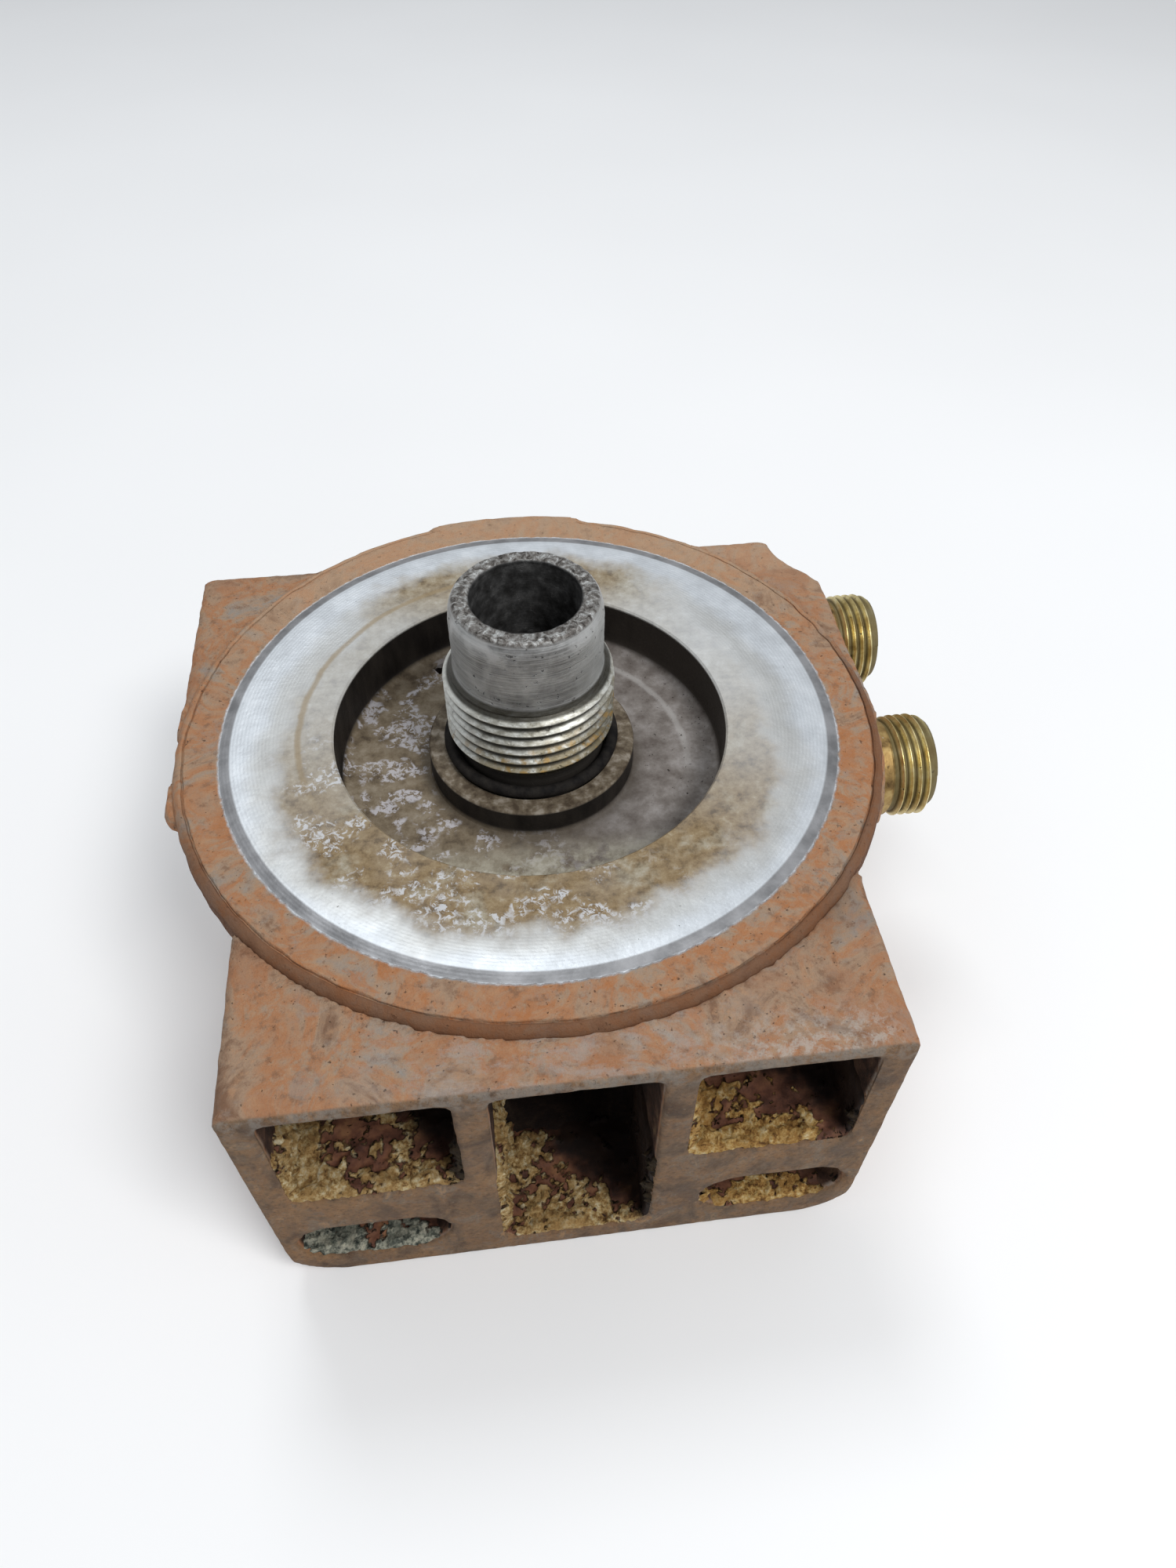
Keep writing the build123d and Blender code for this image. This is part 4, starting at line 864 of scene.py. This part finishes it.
# ---------------------------------------------------------------- scale in the ports
def crust(name, box, thickness, climb, seed, slope):
    """Scale on the floor and lower side walls of a port, from its lip inwards.

    It is thick by the left wall and the lip and patchy between. The far right corner lies in shade,
    which widens by the slope for each millimetre of depth.
    """
    (x0, _, z0), (x1, y1, _) = ([c / MM for c in corner] for corner in box)
    width, deep = x1 - x0, y1 - (FRONT + SCALE_LIP)
    path = climb * 2 + width
    across, along = round(path / SCALE_CELL), round(deep / SCALE_CELL)
    deselect()
    bpy.ops.mesh.primitive_grid_add(x_subdivisions=across, y_subdivisions=along, size=1.0)
    piece = bpy.context.object
    piece.name = piece.data.name = name
    cover = piece.data.attributes.new("cover", "FLOAT", "POINT")
    shade = piece.data.attributes.new("shade", "FLOAT", "POINT")
    for index, vertex in enumerate(piece.data.vertices):
        s = (vertex.co.x + 0.5) * path
        v = vertex.co.y + 0.5
        y = FRONT + SCALE_LIP + v * deep
        if s < climb:
            base, inward = Vector((x0, y, z0 + climb - s)), Vector((1, 0, 0))
        elif s < climb + width:
            base, inward = Vector((x0 + s - climb, y, z0)), Vector((0, 0, 1))
        else:
            base, inward = Vector((x1, y, z0 + s - climb - width)), Vector((-1, 0, 0))
        corner = min(abs(s - climb), abs(s - climb - width))
        if corner < 2.2:
            lean = 0.5 - corner / 4.4
            other = Vector((0, 0, 1)) if inward.x else Vector((1 if s < climb + width / 2 else -1, 0, 0))
            inward = (inward * (1 - lean) + other * lean).normalized()
        point = base + Vector((seed, seed * 0.7, 0))
        u = min(max((s - climb) / width, 0.0), 1.0)
        right_wall = max(0.0, s - climb - width)
        dark = u + slope * v * deep + right_wall * 0.2 - 1.0 + roughness_at(point, 3.0) * 0.12
        shade.data[index].value = min(max(dark / 0.22 + 0.45, 0.0), 1.0)
        by_wall = max(0.0, 1 - u * width / 5.0)
        by_lip = max(0.0, 1 - v * deep / 4.0)
        laid = (max(by_wall * 0.7, by_lip * 0.85) + 0.37 + roughness_at(point, 5.5) * 1.1
                + roughness_at(point, 1.1) * 0.8 - shade.data[index].value * 0.8)
        laid = min(max(laid, 0.0), 1.0)
        cover.data[index].value = laid
        lumps = roughness_at(point, 4.5) * 0.7 + roughness_at(point, 1.3) * 1.0
        crumbs = abs(roughness_at(point, 0.7)) * 0.9
        rise = thickness * (0.10 + (0.45 + lumps + crumbs) * laid + roughness_at(point, 6.0) * 0.3)
        rise -= thickness * 1.6 * max(0.0, 1 - min(s, path - s) / 2.5)
        rise -= thickness * 1.5 * max(0.0, 1 - v * deep / 0.8) ** 2
        rise -= thickness * 1.2 * max(0.0, v - 0.7) / 0.3
        vertex.co = (base + inward * (min(rise, thickness * 2.2) - SCALE_SUNK)) * MM
        vertex.co.y = max(vertex.co.y, (FRONT + SCALE_LIP) * MM)
    pick(piece)
    bpy.ops.object.mode_set(mode="EDIT")
    bpy.ops.mesh.select_all(action="SELECT")
    bpy.ops.mesh.normals_make_consistent(inside=False)
    bpy.ops.object.mode_set(mode="OBJECT")
    if piece.data.polygons[len(piece.data.polygons) // 2].normal.z < 0:
        piece.data.flip_normals()
    modify(piece, "SOLIDIFY", thickness=0.5 * MM, offset=-1.0)
    smooth(piece, 80)
    return piece


# ---------------------------------------------------------------- camera, floor and light
def camera():
    """View from above the front, a short distance away."""
    eye = Vector(EYE) * MM
    down, turn, tilt = LOOK_DOWN, LOOK_TURN, LOOK_TILT
    turned = Matrix(((cos(turn), -sin(turn), 0), (sin(turn), cos(turn), 0), (0, 0, 1)))
    level = Matrix(((1, 0, 0), (0, 0, -1), (0, 1, 0)))
    pitched = Matrix(((1, 0, 0), (0, cos(down), -sin(down)), (0, sin(down), cos(down))))
    rolled = Matrix(((cos(tilt), -sin(tilt), 0), (sin(tilt), cos(tilt), 0), (0, 0, 1)))
    world_to_view = rolled @ pitched @ level @ turned
    axes = Matrix((world_to_view[0], -world_to_view[1], -world_to_view[2])).transposed()
    data = bpy.data.cameras.new("camera")
    data.sensor_fit = "VERTICAL"
    data.sensor_height = SENSOR_HEIGHT
    data.lens = LENS
    data.clip_start = 0.01
    piece = bpy.data.objects.new("camera", data)
    bpy.context.collection.objects.link(piece)
    piece.matrix_world = Matrix.Translation(eye) @ axes.to_4x4()
    bpy.context.scene.camera = piece


def soft_light(name, at, power, size, colour=(1.0, 1.0, 1.0)):
    data = bpy.data.lights.new(name, "AREA")
    data.energy = power
    data.size = size
    data.color = colour
    light = bpy.data.objects.new(name, data)
    bpy.context.collection.objects.link(light)
    light.location = at
    light.rotation_euler = (-Vector(at)).to_track_quat("-Z", "Y").to_euler()


def studio():
    """White floor and soft overhead light."""
    deselect()
    bpy.ops.mesh.primitive_plane_add(size=6.0, location=(0, 0, FOOT * MM - 0.0002))
    floor = bpy.context.object
    floor.name = "floor"
    finish = Finish("white_floor")
    tone = finish.grain(180.0, 2.0)
    colour = finish.ramp(tone, (0.3, (0.93, 0.93, 0.93)), (0.7, (0.96, 0.96, 0.96)))
    floor.data.materials.append(finish.output(Base_Color=colour, Roughness=0.9))
    world = bpy.data.worlds.new("studio")
    world.use_nodes = True
    background = world.node_tree.nodes["Background"]
    background.inputs["Color"].default_value = (*WORLD_COLOUR, 1.0)
    background.inputs["Strength"].default_value = WORLD_STRENGTH
    bpy.context.scene.world = world
    bpy.context.scene.view_settings.view_transform = "Standard"
    soft_light("key", (0.36, -0.44, 0.82), 5.6, 0.34)
    soft_light("window", (-0.10, 0.40, 0.86), 2.2, 0.30, (0.93, 0.97, 1.0))


# ---------------------------------------------------------------- the object
def dress(piece, body, material, slot_name, *stands_for):
    piece.data.materials.clear()
    piece.data.materials.append(material)
    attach(piece, body)
    if stands_for:
        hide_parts(*stands_for)


camera()
studio()

dress(casting_skin(), "head", casting_finish(), "cast_iron", "head_casting")
dress(turned_rim(), "head", rim_finish(), "cast_iron")
dress(nipple(), "head", nipple_finish(), "plated_steel", "centre_nipple")

first_union = union_body()
for side, node in (("front", "front_union"), ("rear", "rear_union")):
    at = mounts[side + "_union_thread"]["pos_m"]
    piece = twin(first_union, side + "_brass_union")
    place(piece, Matrix.Translation((0, at[1], at[2])) @ Matrix.Rotation(pi / 2, 4, "Y"))
    finish = brass_finish(side + "_turned_brass", at[1] / MM, at[2] / MM)
    dress(piece, "head", finish, "brass", node)
bpy.data.objects.remove(first_union)

CREAM = ((0.13, 0.065, 0.024), (0.42, 0.25, 0.090), (0.62, 0.45, 0.21), (0.84, 0.76, 0.54))
OCHRE = ((0.12, 0.055, 0.018), (0.42, 0.22, 0.062), (0.66, 0.43, 0.15), (0.84, 0.70, 0.42))
SALTY = ((0.035, 0.042, 0.036), (0.16, 0.17, 0.135), (0.44, 0.43, 0.34), (0.66, 0.62, 0.48))
RED_RUST = ((0.055, 0.022, 0.014), (0.110, 0.045, 0.027), (0.160, 0.068, 0.038), (0.24, 0.115, 0.055))
for index, (name, thickness, climb, slope, tones) in enumerate((
        ("left_port", 0.9, 12.0, 0.033, CREAM), ("centre_port", 0.9, 24.0, 0.045, CREAM),
        ("right_port", 0.9, 12.0, 0.033, OCHRE), ("left_pocket", 0.8, 2.6, 0.010, SALTY),
        ("right_pocket", 0.8, 2.6, 0.030, OCHRE))):
    piece = crust(name + "_scale", openings[name], thickness, climb, 17.0 * index + 3.0, slope)
    dress(piece, "head", scale_finish(name + "_scale", tones, RED_RUST), "cast_iron")

node_finishes = {
    "black_rubber": rubber_finish(),
    "brass": plain_metal("small_brass", (0.40, 0.28, 0.09), (0.70, 0.55, 0.24), 2.5),
    "bright_steel": plain_metal("ground_steel", (0.42, 0.42, 0.43), (0.68, 0.68, 0.69), 2.0),
    "spring_steel": plain_metal("spring_wire", (0.25, 0.25, 0.26), (0.50, 0.50, 0.52), 1.5),
    "copper": plain_metal("copper_washer", (0.36, 0.15, 0.08), (0.62, 0.32, 0.19), 2.0),
    "plug_steel": plain_metal("rusty_plug", (0.10, 0.07, 0.05), (0.26, 0.20, 0.16), 2.8, 0.5, 0.5),
    "plated_steel": plain_metal("zinc_plate", (0.30, 0.30, 0.29), (0.56, 0.56, 0.53), 3.5),
}
slots = {s["node"]: s["material_slot"] for s in frame["record"]["subparts"]}
for name, node in frame["nodes"].items():
    material = node_finishes.get(slots[name])
    if material:
        node.data.materials.clear()
        node.data.materials.append(material)
